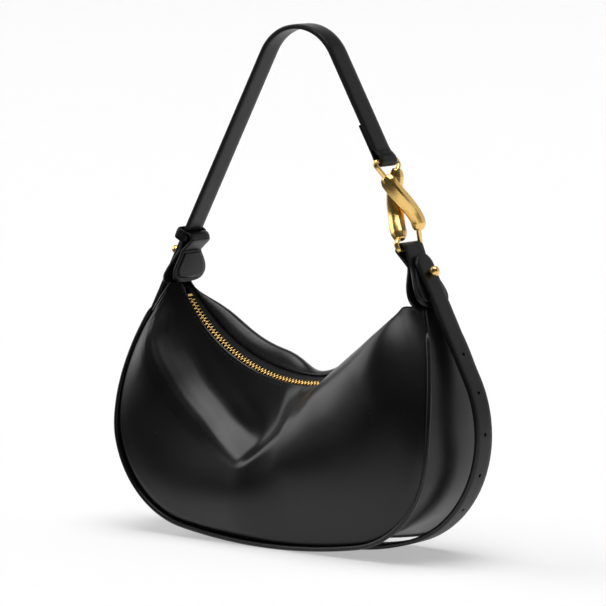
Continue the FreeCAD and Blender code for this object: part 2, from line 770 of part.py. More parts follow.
def tape_surface(panel, facing, inwards):
    """Tape from beside the teeth to the underside of a panel's lip."""
    def surface(t, s):
        x, z = zip_point(t, tape_depth)
        start = Vector(x, facing * (chain_half_width + tape_gap), z)
        lip = panel(t, 0.0) + inner_normal(panel, t, 0.0) * (inwards * (leather + tape_seat_gap))
        return start + (lip - start) * s
    return surface


tape_end_share = slider_place_share + slider_length / 2 / zip_length
tape_ts = spread(-tape_end_share, tape_end_share, along_count)
tape_ss = spread(0.0, 1.0, tape_count)
front_tape = tape_surface(front_surface, -1, 1)
back_tape = tape_surface(back_surface, 1, -1)
save("zip_tape_front", sheet(front_tape, tape_ts, tape_ss, 0.0, tape_thickness, 1))
save("zip_tape_back", sheet(back_tape, tape_ts, tape_ss, 0.0, tape_thickness, -1))

tooth_count = int(2 * chain_end_share * zip_length / tooth_pitch)
tooth_share = tooth_pitch / zip_length
hook = tooth_pitch / 4
half_tooth = tooth_height / 2
front_teeth = []
back_teeth = []
for i in range(tooth_count):
    t = (i - (tooth_count - 1) / 2) * tooth_share
    front_teeth.append(zip_box(t, tooth_length, -chain_half_width, hook, half_tooth))
    t += tooth_share / 2
    back_teeth.append(zip_box(t, tooth_length, -hook, chain_half_width, half_tooth))
save("zip_teeth_front", Part.makeCompound(front_teeth))
save("zip_teeth_back", Part.makeCompound(back_teeth))

stop_share = (tooth_count / 2 * tooth_pitch + layer_gap + stop_length / 2) / zip_length
save("zip_bottom_stop", zip_box(-stop_share, stop_length, -chain_half_width, chain_half_width, half_tooth))
top_stop_share = slider_place_share + (slider_length / 2 + layer_gap + stop_length / 2) / zip_length
top_stops = []
for low_y, high_y in ((-chain_half_width, -hook), (hook, chain_half_width)):
    top_stops.append(zip_box(top_stop_share, stop_length, low_y, high_y, half_tooth))
save("zip_top_stops", Part.makeCompound(top_stops))

# Slider: two plates and a wedge post round the chain, with a bridge for the pull
channel = half_tooth + slider_clearance
slider_top = channel + slider_plate
plate_corner = Vector(-slider_length / 2, -slider_half_width, channel)
slider = Part.makeBox(slider_length, 2 * slider_half_width, slider_plate, plate_corner)
lower_plate = slider.copy()
lower_plate.translate(Vector(0, 0, -2 * channel - slider_plate))
post_corner = Vector(slider_length / 2 - slider_post_length, -slider_post_half_width, -channel)
post = Part.makeBox(slider_post_length, 2 * slider_post_half_width, 2 * channel, post_corner)
bridge_corner = Vector(-bridge_length / 2, -bridge_half_width, slider_top)
bridge = Part.makeBox(bridge_length, 2 * bridge_half_width, bridge_height, bridge_corner)
tunnel_length = bridge_length - 2 * bridge_wall
tunnel_corner = Vector(-tunnel_length / 2, -bridge_half_width, slider_top)
tunnel_height = bridge_height - bridge_wall
tunnel = Part.makeBox(tunnel_length, 2 * bridge_half_width, tunnel_height, tunnel_corner)
slider = slider.fuse(lower_plate).fuse(post).fuse(bridge.cut(tunnel)).removeSplitter()
slider.Placement = zip_frame(slider_place_share, chain_depth)
save("zip_slider", slider)

# Pull: a pin under the bridge, two arms and a flat tongue that lies along the chain
pin_height = slider_top + tunnel_height / 2
arm_place = bridge_half_width + layer_gap
pin_half = arm_place + pull_arm
pull_thickness = 2 * pull_pin_radius
pull = Part.makeCylinder(pull_pin_radius, 2 * pin_half, Vector(0, -pin_half, 0), y_axis)
for low_y in (-pin_half, arm_place):
    arm_corner = Vector(-pull_neck, low_y, -pull_pin_radius)
    pull = pull.fuse(Part.makeBox(pull_neck, pull_arm, pull_thickness, arm_corner))
tongue_corner = Vector(-pull_length, -pull_half_width, -pull_pin_radius)
tongue = Part.makeBox(pull_length - pull_neck, 2 * pull_half_width, pull_thickness, tongue_corner)
pull = pull.fuse(tongue).removeSplitter()
lift_up = FreeCAD.Placement(Vector(0, 0, pin_height), FreeCAD.Rotation(y_axis, pull_rest_angle))
pull.Placement = zip_frame(slider_place_share, chain_depth).multiply(lift_up)
save("zip_pull", pull)

# Where the moving pieces turn
turning_points = {"loop": loop_centre, "upper eye": upper_eye}
turning_points["apex"] = Vector(apex_x, 0, handle_height - half_strap)
turning_points["tail hinge"] = Vector(hinge_x, 0, hinge_z)
turning_points["pull pin"] = pull.Placement.Base
turning_points["neck"] = neck
turning_points["zip centre"] = Vector(0, 0, zip_centre_height)
for name, point in turning_points.items():
    print(name, round(point.x, 4), round(point.z, 4))
print("tail lean", round(math.degrees(lean), 4), "handle lean", round(math.degrees(right_lean), 4))
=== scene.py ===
"""Half moon shoulder bag of black leather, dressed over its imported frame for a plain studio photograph.

Lengths are in millimetres until a mesh is made. The front of the bag faces -Y and +Z is up.
"""
import bmesh
import bpy
import math
import numpy as np
from mathutils import Matrix, Vector


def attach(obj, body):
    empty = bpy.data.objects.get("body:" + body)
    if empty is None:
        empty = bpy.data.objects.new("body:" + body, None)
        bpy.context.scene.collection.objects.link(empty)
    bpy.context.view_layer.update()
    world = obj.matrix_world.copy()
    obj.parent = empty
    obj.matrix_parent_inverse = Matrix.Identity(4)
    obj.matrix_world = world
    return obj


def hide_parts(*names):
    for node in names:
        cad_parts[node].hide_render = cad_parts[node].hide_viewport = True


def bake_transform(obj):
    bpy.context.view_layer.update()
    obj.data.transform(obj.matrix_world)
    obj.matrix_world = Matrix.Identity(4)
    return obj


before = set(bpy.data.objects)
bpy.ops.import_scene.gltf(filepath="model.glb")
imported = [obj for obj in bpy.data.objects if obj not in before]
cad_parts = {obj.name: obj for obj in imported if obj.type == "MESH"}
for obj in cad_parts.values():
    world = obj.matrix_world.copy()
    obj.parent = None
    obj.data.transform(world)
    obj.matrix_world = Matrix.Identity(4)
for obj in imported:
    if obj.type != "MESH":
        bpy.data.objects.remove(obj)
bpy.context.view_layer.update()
metre = 1000.0
mirror = np.array([-1, 1, 1])
across_bag = np.array([0.0, 1.0, 0.0])

# Crescent zip and half moon outline, as in the part's source
zip_half_span = 123.0
zip_end_height = 203.0
zip_sag = 71.0
half_width = 159.0
side_height = 92.5
corner_round_share = 0.928
corner_x = zip_half_span + 8.0
corner_z = zip_end_height + 1.0
front_half_depth = 47.5
back_half_depth = 35.0
corner_half_depth = 13.0
full_depth_height = 75.0
leather = 1.8
lining = 0.8
gap = 0.3
piping_radius = 2.0
piping_reach = 0.93
piping_around = 14
piping_end_rows = 3
piping_end_share = 0.05
front_lip = 6.6
back_lip = 8.5
lip_draw = 0.12
mouth_lean = math.radians(28)

# Folds of the soft panels: how far they swell and lift, and how keen the V ridge is
belly_swell = 31.0
left_swell_share = 0.84
left_swell_span = (-0.5, 0.3)
corner_hold = 8
lip_hold = 40
edge_hold = 60
facet_hollow = 3.6
facet_hollow_middle = 3.0
ridge_softness = 8.0
ridge_softness_lost = 4.0
fold_place = -0.08
fold_reach = 0.13
belly_slope = 0.3
belly_round = 2.5
roll_span = (-0.08, 0.14)
roll_peak = 0.13
roll_middle = 0.4
pleat_depth = 1.5
pleat_left_span = (-0.8, -0.6)
pleat_right_span = (0.1, 0.2)
seam_reach = 9.0
seam_depth = 1.8
back_swell = 20.0
back_swell_peak = 0.48
back_roll_peak = 0.3
back_lift_middle = 24.0
back_lift_side = 17.0
back_lift_fall = 3
back_lift_hold = 10
back_dip_place = 0.043
back_dip_reach = 0.172
gusset_swell = 3.0
gusset_hollow = 9.5

# Strap and handle
strap_width = 20.0
strap_thickness = 3.7
strap_layer = 2.0
tail_flat = half_width * 0.314
tail_x = half_width + 21.0
tail_z = side_height + 9.0
tail_round_share = 0.927
tail_lift_turn = math.radians(18)
tail_hinge_turn = math.radians(10)
tail_tip_length = 18.0
tip_end_turn = 0.02
tip_end_share = 0.0004
tip_rows = 14
row_spacing = 3.0
handle_height = 421.0
apex_radius = 40.0
fold_end_length = 34.0
fold_points = 90
fold_side_inset = 0.05
fold_slope_length = 8
hidden_handle_end = 10.5
fold_seam_half = 8.4
fold_seam_back = 12.5
fold_seam_points = 20
strap_crown = 1.06
hole_count = 5
hole_radius = 1.6
hole_pitch = 33.0
hole_row_reach = 2.6
hole_row_margin = 0.6
first_hole_drop = 70.0
stud_hole_radius = 1.9

# Tabs, studs, keeper and link
tab_leaf = 2.2
tab_patch = 1.6
tab_length = 37.0
tab_half_width = 20.5
tab_margin = 3.4
tab_tip_half_width = 0.4
tab_fine_points = 2000
leaf_rows = 34
bridge_points = 60
loop_widening = 0.6
tab_blend = (34, 43)
tab_blend_offset = -6
pad_rows = 30
pad_ease = 2.5
pad_ease_least = 0.02
pad_sink = 0.25
pad_seam_inset = 2.0
pad_seam_rise = 0.84
pad_seam_points = 160
fine_stitch = 3.3
loop_bore = 3.4
loop_rise = 15.0
loop_half_width = 12.0
left_tab_drop = 8.0
left_tab_reach = 2.0
left_pull_span = (14, 52)
right_leaf_drop = 5.5
right_leaf_span = (0, 22)
ball_radius = 4.3
ball_around = 28
post_radius = 1.3
neck_radius = 1.5
post_end = 3.6
neck_end = 3.3
stud_drop = 11.0
keeper_run = 15.0
keeper_wall = 1.6
keeper_around = 16
keeper_tall_square = 0.7
keeper_thin_square = 0.8
keeper_half_wall = 0.95
keeper_low = 2.6
keeper_rise = 2.9
keeper_rise_span = (0.4, 3.5)
keeper_side_gap = 0.9
keeper_corner = 0.6
keeper_bend = 2.2
keeper_inner_bend = 2.0
keeper_outer_bend = 2.4
link_length = 72.5
link_lean = math.radians(18.9)
link_wire_radius = 2.0
link_wire_around = 18
link_eye_half_spread = 14.4
bar_half_width = 7.2
bar_half_thickness = 4.8
bar_rows = 61
facet_cut = 0.18
bar_end_share = 0.55
bar_end_reach = 0.1
eye_points = 80

# Zip chain and lip seams
tape_depth = 2.4
tape_thickness = 0.6
chain_half_width = 2.8
tooth_pitch = 3.2
tooth_count = 85
lip_seam_inset = 2.4
stitch_pitch = 3.9
stitch_sink = 0.1
stitch_half_sizes = (1.45, 0.36, 0.3)
stitch_cap_turn = 0.35
stitch_around = 6
stitch_rings = 4
tooth_back_share = 0.45
soft_edge = 0.3

# Sockets of the Mix node that hold colours, and the drift and relief of every finish
mix_first = 6
mix_second = 7
mix_result = 2
drift_detail = 3.0
drift_low = 0.3
drift_high = 0.7
relief_strength = 0.5


def linear(code):
    """Linear colour of an sRGB hex code, with full alpha."""
    parts = [int(code[i:i + 2], 16) / 255 for i in (1, 3, 5)]
    return [c / 12.92 if c <= 0.04045 else ((c + 0.055) / 1.055) ** 2.4 for c in parts] + [1.0]


def add_node(tree, kind, inputs=None, **settings):
    """Add a node, set its options, and fill its inputs with values or links."""
    node = tree.nodes.new(kind)
    for name, value in settings.items():
        setattr(node, name, value)
    for name, value in (inputs or {}).items():
        if isinstance(value, bpy.types.NodeSocket):
            tree.links.new(value, node.inputs[name])
        else:
            node.inputs[name].default_value = value
    return node


def mixed(tree, share, first, second):
    """Colour that lies between two others by a share."""
    inputs = {"Factor": share, mix_first: first, mix_second: second}
    return add_node(tree, "ShaderNodeMix", inputs, data_type="RGBA").outputs[mix_result]


def worked(tree, operation, first, second):
    """Result of an operation on two numbers."""
    return add_node(tree, "ShaderNodeMath", {0: first, 1: second}, operation=operation).outputs[0]


def new_material(name):
    """Material and its empty node tree."""
    material = bpy.data.materials.new(name)
    material.use_nodes = True
    material.node_tree.nodes.clear()
    return material, material.node_tree


def finish_material(name, colours, patch, rough, grain, grain_size, grain_height, metallic=0.0, specular=0.5,
                    sheen=0.0):
    """Material with a slow drift between two colours and two roughnesses, and a fine grain in its relief."""
    material, tree = new_material(name)
    place = add_node(tree, "ShaderNodeTexCoord").outputs["Object"]
    drift = add_node(tree, "ShaderNodeTexNoise", {
        "Vector": place, "Scale": metre / patch, "Detail": drift_detail}).outputs["Fac"]
    gloss = add_node(tree, "ShaderNodeMapRange", {
        "Value": drift, "From Min": drift_low, "From Max": drift_high,
        "To Min": rough[0], "To Max": rough[1]})
    relief = add_node(tree, "ShaderNodeTex" + grain, {"Vector": place, "Scale": metre / grain_size}).outputs
    bump = add_node(tree, "ShaderNodeBump", {
        "Height": relief["Distance" if "Distance" in relief else "Fac"], "Strength": relief_strength,
        "Distance": grain_height / metre})
    skin = add_node(tree, "ShaderNodeBsdfPrincipled", {
        "Base Color": mixed(tree, drift, linear(colours[0]), linear(colours[1])),
        "Roughness": gloss.outputs["Result"], "Normal": bump.outputs["Normal"],
        "Metallic": metallic, "Specular IOR Level": specular, "Sheen Weight": sheen})
    add_node(tree, "ShaderNodeOutputMaterial", {"Surface": skin.outputs["BSDF"]})
    return material


# Finishes: two colours and the size of their patches, two roughnesses, the grain's kind, size and height
leather_blacks = ("#0c0c0d", "#121213")
# Soft black calf: deep black in the shade, broad satin highlights on every fold, pores coarser than life
calf = finish_material("black calf leather", leather_blacks, 45, (0.27, 0.36), "Voronoi", 1.1, 0.05,
                       specular=0.4)
# Strap leather: the same black, pressed flatter and duller than the soft panels
strap_calf = finish_material("black strap leather", leather_blacks, 45, (0.33, 0.42), "Voronoi", 1.1, 0.05,
                             specular=0.26)
# Edge paint: a smoother, shinier line along every cut edge
edge_paint = finish_material("painted leather edge", ("#141415", "#1b1b1c"), 20, (0.26, 0.34), "Noise", 2.5,
                             0.05)
# Satin gold plating: warm, soft mirror of the room with a faint cloudiness
gold = finish_material("satin gold plate", ("#f3c56c", "#f9d38a"), 14, (0.22, 0.30), "Noise", 0.5, 0.004,
                       metallic=1.0)
# Zip metal: brighter and more polished than the link, so each tooth sparkles
zip_gold = finish_material("polished zip brass", ("#e3b75c", "#f1d192"), 4, (0.18, 0.26), "Noise", 0.6, 0.004,
                           metallic=1.0)
# Zip tape: matt black weave
tape_cloth = finish_material("woven zip tape", ("#101112", "#1a1b1d"), 3, (0.75, 0.9), "Wave", 1.2, 0.12,
                             specular=0.25, sheen=0.15)
# Lining: soft dark grey twill inside the bag
lining_cloth = finish_material("grey twill lining", ("#1d1c1c", "#292727"), 5, (0.8, 0.95), "Wave", 1.6, 0.15,
                               specular=0.2, sheen=0.2)
# Stiffener: matt board under the lining
board = finish_material("matt stiffener board", ("#1b1b1b", "#242424"), 12, (0.6, 0.75), "Noise", 1.5, 0.06,
                        specular=0.3)
# Thread: waxed black, a touch lighter than the leather so that the stitches read
thread = finish_material("waxed black thread", ("#1d1d1e", "#2a2a2b"), 3, (0.4, 0.55), "Wave", 0.5, 0.05,
                         specular=0.45)
strap_finishes = [strap_calf, edge_paint]

# Mesh making: bulges of a sheet's long edges, a direction that no tube follows, steps between given points
first_edge_bulge = 0.45
last_edge_bulge = 0.3
slant = (0.31, 0.77, 0.55)
fine_steps = 40


def add_object(name, data):
    """Object with a mesh, lamp or camera, in the scene."""
    piece = bpy.data.objects.new(name, data)
    bpy.context.collection.objects.link(piece)
    return piece


def tidy_mesh(mesh, sharp):
    """Drop unused points, turn the faces outwards and shade smoothly up to a sharp angle in degrees."""
    work = bmesh.new()
    work.from_mesh(mesh)
    bmesh.ops.delete(work, geom=[v for v in work.verts if not v.link_faces], context="VERTS")
    bmesh.ops.recalc_face_normals(work, faces=work.faces)
    work.to_mesh(mesh)
    work.free()
    mesh.shade_smooth()
    mesh.set_sharp_from_angle(angle=math.radians(sharp))


def make(name, parts, materials, sharp=50):
    """One object from parts, each a tuple of points, faces and one material number per face."""
    points = []
    faces = []
    numbers = []
    start = 0
    for part_points, part_faces, part_numbers in parts:
        points.append(np.asarray(part_points, float) / metre)
        faces += [tuple(int(i) + start for i in face) for face in part_faces]
        numbers += list(part_numbers)
        start += len(part_points)
    mesh = bpy.data.meshes.new(name)
    mesh.from_pydata(np.concatenate(points), [], faces)
    for material in materials:
        mesh.materials.append(material)
    mesh.polygons.foreach_set("material_index", numbers)
    tidy_mesh(mesh, sharp)
    return add_object(name, mesh)


def skin_over(rings, numbers=None, ends="fan", closed=False):
    """Part over rings of points, shaped (rings, around, 3); numbers holds a material for each strip."""
    count, around, _ = rings.shape
    index = np.arange(count * around).reshape(count, around)
    numbers = numbers or [0] * around
    points = rings.reshape(-1, 3)
    faces = []
    kinds = []
    for i in range(count if closed else count - 1):
        here = index[i]
        there = index[(i + 1) % count]
        for j in range(around):
            k = (j + 1) % around
            faces.append((here[j], here[k], there[k], there[j]))
            kinds.append(numbers[j])
    if ends == "fan":
        points = np.concatenate([points, [rings[0].mean(0), rings[-1].mean(0)]])
        for centre, ring in ((len(points) - 2, index[0]), (len(points) - 1, index[-1])):
            faces += [(ring[j], ring[(j + 1) % around], centre) for j in range(around)]
    if ends == "pairs":
        half = around // 2 - 1
        for ring in (index[0], index[-1]):
            for j in range(half - 1):
                faces.append((ring[j], ring[j + 1], ring[2 * half - j - 1], ring[2 * half - j]))
            faces.append((ring[half - 1], ring[half], ring[half + 1]))
            faces.append((ring[2 * half], ring[2 * half + 1], ring[0]))
    return points, faces, kinds + [0] * (len(faces) - len(kinds))


def xyz(x, y, z):
    """Points from coordinates that are single numbers or grids."""
    return np.stack(np.broadcast_arrays(x, y, z), axis=-1)


def unit(vectors):
    """Vectors scaled to a length of 1."""
    return vectors / np.linalg.norm(vectors, axis=-1, keepdims=True)


def circle(count):
    """Angles spread evenly round a circle."""
    return np.arange(count) * 2 * math.pi / count


def grid_normals(points):
    """Unit normals of a grid of points, first direction crossed with second."""
    return unit(np.cross(np.gradient(points, axis=0), np.gradient(points, axis=1)))


def sheet(points, thickness, inwards, depth=0.0):
    """Part that gives a grid of points a thickness, with rounded long edges; inwards is the normal's sign."""
    normals = grid_normals(points) * inwards
    outer = points + normals * depth
    inner = points + normals * (depth + thickness)
    across = unit(np.gradient(points, axis=1))
    low = (outer[:, 0] + inner[:, 0]) / 2 - across[:, 0] * thickness * first_edge_bulge
    high = (outer[:, -1] + inner[:, -1]) / 2 + across[:, -1] * thickness * last_edge_bulge
    rings = np.concatenate([outer, high[:, None], inner[:, ::-1], low[:, None]], axis=1)
    return skin_over(rings, ends="pairs")


def tube(route, radius, around):
    """Part that is a round bar along a list of points, whose radius may change along it."""
    along = unit(np.gradient(route, axis=0))
    side = unit(np.cross(along, slant))
    for i in range(1, len(route)):
        side[i] = unit(side[i - 1] - along[i] * (side[i - 1] @ along[i]))
    other = np.cross(along, side)
    angles = circle(around)[:, None]
    radii = np.broadcast_to(radius, len(route))[:, None, None]
    rings = side[:, None] * np.cos(angles) + other[:, None] * np.sin(angles)
    return skin_over(route[:, None] + radii * rings)


def mirrored(part):
    """Mirror image of a part in the bag's middle plane."""
    points, faces, kinds = part
    return np.asarray(points) * mirror, [face[::-1] for face in faces], kinds


def run_lengths(line):
    """Distance of every point of a line from its start, along the line."""
    return np.concatenate([[0], np.cumsum(np.linalg.norm(np.diff(line, axis=0), axis=1))])


def pick_along(wanted, lengths, values):
    """Values at wanted distances along a line."""
    return np.stack([np.interp(wanted, lengths, column) for column in values.T], axis=1)


def smooth_line(points, count):
    """Points spread evenly by length along a smooth line through a few given ones."""
    given = np.asarray(points, float)
    padded = np.concatenate([2 * given[:1] - given[1:2], given, 2 * given[-1:] - given[-2:-1]])
    fine = []
    for a, b, c, d in zip(padded, padded[1:], padded[2:], padded[3:]):
        for share in np.linspace(0, 1, fine_steps, endpoint=False):
            fine.append(0.5 * (2 * b + (c - a) * share + (2 * a - 5 * b + 4 * c - d) * share ** 2
                               + (3 * b - a - 3 * c + d) * share ** 3))
    fine = np.array(fine + [given[-1]])
    lengths = run_lengths(fine)
    return pick_along(np.linspace(0, lengths[-1], count), lengths, fine)


# Repeats: stitches and zip teeth
def repeat_tree():
    """Geometry Nodes that set one small shape at every point, turned as the point says."""
    tree = bpy.data.node_groups.new("Set a shape at every point", "GeometryNodeTree")
    for name, way, kind in (("Geometry", "INPUT", "Geometry"), ("Shape", "INPUT", "Object"),
                            ("Finish", "INPUT", "Material"), ("Geometry", "OUTPUT", "Geometry")):
        tree.interface.new_socket(name, in_out=way, socket_type="NodeSocket" + kind)
    given = add_node(tree, "NodeGroupInput").outputs
    turn = add_node(tree, "GeometryNodeInputNamedAttribute", {"Name": "turn"}, data_type="FLOAT_VECTOR")
    rotation = add_node(tree, "FunctionNodeEulerToRotation", {"Euler": turn.outputs["Attribute"]})
    shape = add_node(tree, "GeometryNodeObjectInfo", {"Object": given["Shape"]})
    placed = add_node(tree, "GeometryNodeInstanceOnPoints", {
        "Points": given["Geometry"], "Instance": shape.outputs["Geometry"],
        "Rotation": rotation.outputs["Rotation"]})
    real = add_node(tree, "GeometryNodeRealizeInstances", {"Geometry": placed.outputs["Instances"]})
    dressed = add_node(tree, "GeometryNodeSetMaterial", {
        "Geometry": real.outputs["Geometry"], "Material": given["Finish"]})
    add_node(tree, "NodeGroupOutput", {"Geometry": dressed.outputs["Geometry"]})
    return tree


setting_tree = repeat_tree()


def repeat(name, places, along, up, shape, material):
    """One mesh of a small shape set at many places, its X along a direction and its Z up another."""
    along = unit(along)
    up = unit(up - along * (up * along).sum(1, keepdims=True))
    side = np.cross(up, along)
    mesh = bpy.data.meshes.new(name)
    mesh.from_pydata(places / metre, [], [])
    turns = [Matrix(np.stack(axes, axis=1).tolist()).to_euler() for axes in zip(along, side, up)]
    attribute = mesh.attributes.new("turn", "FLOAT_VECTOR", "POINT")
    attribute.data.foreach_set("vector", np.array([list(turn) for turn in turns]).ravel())
    piece = add_object(name, mesh)
    modifier = piece.modifiers.new("Repeat", "NODES")
    modifier.node_group = setting_tree
    items = setting_tree.interface.items_tree
    sockets = {item.name: item.identifier for item in items if item.in_out == "INPUT"}
    modifier[sockets["Shape"]] = shape
    modifier[sockets["Finish"]] = material
    graph = bpy.context.evaluated_depsgraph_get()
    baked = bpy.data.meshes.new_from_object(piece.evaluated_get(graph))
    piece.modifiers.clear()
    piece.data = baked
    baked.shade_smooth()
    return piece


def stitch_part():
    """One stitch: a small rounded grain, long in X."""
    angles = circle(stitch_around)
    rings = []
    for station in -np.cos(np.linspace(stitch_cap_turn, math.pi - stitch_cap_turn, stitch_rings)):
        reach = math.sqrt(1 - station ** 2)
        rings.append(xyz(station, reach * np.cos(angles), reach * np.sin(angles)))
    return skin_over(np.array(rings) * stitch_half_sizes)


stitch_shape = make("stitch", [stitch_part()], [thread])


def stitches(name, line, up, pitch=stitch_pitch):
    """Row of stitches along a line of points, with the surface's direction up at each point."""
    lengths = run_lengths(line)
    count = max(2, int(lengths[-1] / pitch))
    wanted = (np.arange(count) + 0.5) * lengths[-1] / count
    along = pick_along(wanted, lengths, np.gradient(line, axis=0))
    up = unit(pick_along(wanted, lengths, up))
    return repeat(name, pick_along(wanted, lengths, line) - up * stitch_sink, along, up, stitch_shape, thread)


# The bag's sewn surfaces
def arc_from_sag(half_chord, sag):
    """Radius of the arc over a chord with this half length and this sag."""
    return (half_chord * half_chord + sag * sag) / (2 * sag)


zip_radius = arc_from_sag(zip_half_span, zip_sag)
zip_centre_height = zip_end_height - zip_sag + zip_radius
zip_half_angle = math.asin(zip_half_span / zip_radius)
zip_half_length = zip_radius * zip_half_angle
base_height = side_height - piping_radius
corner_radius = base_height * corner_round_share
corner_centre_x = half_width - corner_radius
base_drop = base_height - corner_radius
base_radius = (corner_centre_x ** 2 + base_height ** 2 - corner_radius ** 2) / (2 * base_drop)
base_turn = math.atan2(corner_centre_x, base_radius - base_height)
side_radius = arc_from_sag(corner_z - side_height, half_width - corner_x)
side_turn = math.asin((corner_z - side_height) / side_radius)
base_length = base_radius * base_turn
corner_length = corner_radius * (math.pi / 2 - base_turn)
outline_length = base_length + corner_length + side_radius * side_turn


def outline(t):
    """Half moon outline and its outward normal for t from -1 to 1: x, z, normal x, normal z."""
    side = np.where(t >= 0, 1.0, -1.0)
    run = np.abs(t) * outline_length
    low = np.minimum(run, base_length) / base_radius
    bend = base_turn + np.clip(run - base_length, 0, corner_length) / corner_radius
    high = np.maximum(run - base_length - corner_length, 0) / side_radius

    def along(base, corner, upper):
        return np.where(run <= base_length, base, np.where(run <= base_length + corner_length, corner, upper))

    x = along(base_radius * np.sin(low), corner_centre_x + corner_radius * np.sin(bend),
              half_width - side_radius * (1 - np.cos(high)))
    z = along(piping_radius + base_radius * (1 - np.cos(low)), side_height - corner_radius * np.cos(bend),
              side_height + side_radius * np.sin(high))
    angle = along(low, bend, math.pi / 2 + high)
    return side * x, z, side * np.sin(angle), -np.cos(angle)


def zip_line(t, depth=0.0):
    """Zip arc, a depth below the lips: x and z."""
    radius = zip_radius + depth
    return radius * np.sin(t * zip_half_angle), zip_centre_height - radius * np.cos(t * zip_half_angle)


def depth_at(z, facing):
    """Depth from the zip's plane to the front piping (facing below 0) or the back piping at a height."""
    full_depth = np.where(facing < 0, front_half_depth, back_half_depth)
    share = np.clip((corner_z - z) / (corner_z - full_depth_height), 0, 1)
    return corner_half_depth + (full_depth - corner_half_depth) * np.sin(share * math.pi / 2)


def hump(s, peak):
    """Smooth rise from 0 to 1 at the peak and back to 0."""
    return np.sin(math.pi * np.clip(s / ((1 / (1 - peak) - 2) * (1 - s) + 1), 0, 1))


def fade(t, power=6):
    """Share of a swell that is left along the bag, 0 at its two corners."""
    return (1 - t ** power) ** 2


def bell(value, centre, width):
    """Soft bump of height 1 round a centre."""
    return np.exp(-((value - centre) / width) ** 2)


def step(value, low, high):
    """Smooth step from 0 at low to 1 at high."""
    share = np.clip((value - low) / (high - low), 0, 1)
    return share * share * (3 - 2 * share)


def mouth_tilt(t):
    """How far the zip faces the front, as an angle: the fold draws the front lip down."""
    return mouth_lean * (1 - t ** corner_hold)


def panel(t, s, facing, lip, swell, lift, extra):
    """Front or back panel from its lip (s = 0) to its piping (s = 1), swollen outwards and lifted upwards."""
    lip = lip * (1 - lip_draw * t * t)
    top_x, top_z = zip_line(t)
    top_z = top_z + facing * lip * np.tan(mouth_tilt(t))
    edge_x, edge_z, normal_x, normal_z = outline(t)
    inset = piping_radius + gap
    depth = depth_at(edge_z, facing)
    edge_x = edge_x - inset * normal_x
    edge_z = edge_z - inset * normal_z
    rise = lift / np.hypot(top_x - edge_x, top_z - edge_z)
    y = lip + (depth - lip) * s + swell + extra
    return xyz(top_x + (edge_x - top_x) * (s - rise), facing * y, top_z + (edge_z - top_z) * (s - rise))


# Where the front panel's V fold lies: places along the bag and shares of the way down from the lip
ridge_line = smooth_line((
    (-1, 0.95), (-0.9, 0.573), (-0.79, 0.452), (-0.7, 0.37), (-0.6, 0.318), (-0.47, 0.312), (-0.34, 0.335),
    (-0.22, 0.41), (-0.15, 0.457), (-0.1, 0.48), (-0.05, 0.42), (0, 0.345), (0.107, 0.218), (0.25, 0.125),
    (0.393, 0.09), (0.568, 0.1), (0.728, 0.15), (0.86, 0.26), (1, 0.5)), 600)
# How far the front panel is drawn up over the zip: places along the bag and heights
lift_line = smooth_line((
    (-1, 0), (-0.1, 0), (0.1, 10), (0.25, 21.9), (0.4, 28.6), (0.55, 30.7), (0.7, 27.8), (0.82, 23.9),
    (0.92, 20.4), (0.97, 16.7), (1, 0)), 400)
# Softening of the ridge: offsets and weights
softening = ((-1.8, 0.06), (-1.2, 0.12), (-0.6, 0.2), (0, 0.24), (0.6, 0.2), (1.2, 0.12), (1.8, 0.06))
# Pleats on the left of the fold: share of their depth, distance below the ridge and width
pleats = ((0.3, 0, 6), (-1, -12, 6), (0.6, -22, 7))


def crest(t, s, ridge, width):
    """Rise of the front fold: a steep facet that turns out to a shelf at the ridge, then a full belly."""
    middle = bell(t, fold_place, fold_reach)
    hollow = facet_hollow + facet_hollow_middle * middle
    softness = ridge_softness - ridge_softness_lost * middle
    total = 0
    for offset, weight in softening:
        place = np.clip(s + offset * softness / width, 0, 1)
        rise = np.clip(place / ridge, 0, 1) ** hollow
        share = np.clip((place - ridge) / (1 - ridge), 0, 1)
        fall = 1 - belly_slope * share - (1 - belly_slope) * share ** belly_round
        total = total + weight * np.minimum(rise, fall)
    return total * (1 - (1 - s) ** lip_hold) * (1 - s ** edge_hold)


def panel_width(t):
    """Length of a panel from its lip to its piping."""
    top_x, top_z = zip_line(t)
    edge_x, edge_z = outline(t)[:2]
    return np.hypot(top_x - edge_x, top_z - edge_z)


def seam_dip(t, s):
    """How far the panel's edge rolls in towards the piping."""
    return -seam_depth * np.clip(1 - (1 - s) * panel_width(t) / seam_reach, 0, 1) ** 2


def front_surface(t, s):
    """Front panel with its fold: a V ridge, pleated on the left, that rolls over the zip on the right."""
    ridge = np.interp(t, *ridge_line.T)
    width = panel_width(t)
    below = (s - ridge) * width
    pleat = pleat_depth * step(t, *pleat_left_span) * step(-t, *pleat_right_span)
    extra = pleat * sum(share * bell(below, place, reach) for share, place, reach in pleats) + seam_dip(t, s)
    rolled = step(t, *roll_span)
    folded = (1 - rolled) * crest(t, s, ridge, width)
    lift = (folded + rolled * hump(s, ridge + roll_peak)) * np.interp(t, *lift_line.T)
    full = fade(t, corner_hold) * (left_swell_share + (1 - left_swell_share) * step(t, *left_swell_span))
    swell = belly_swell * full * (folded + rolled * hump(s, roll_middle))
    return panel(t, s, -1, front_lip, swell, lift, extra)


def back_surface(t, s):
    """Back panel, which rolls up above the zip before it falls, least near the middle."""
    lift = back_lift_middle + back_lift_side * (1 - bell(t, back_dip_place, back_dip_reach))
    lift = lift * (1 - np.abs(t) ** back_lift_fall) * (1 - t ** back_lift_hold) * hump(s, back_roll_peak)
    swell = back_swell * fade(t) * hump(s, back_swell_peak)
    return panel(t, s, 1, back_lip, swell, lift, seam_dip(t, s))


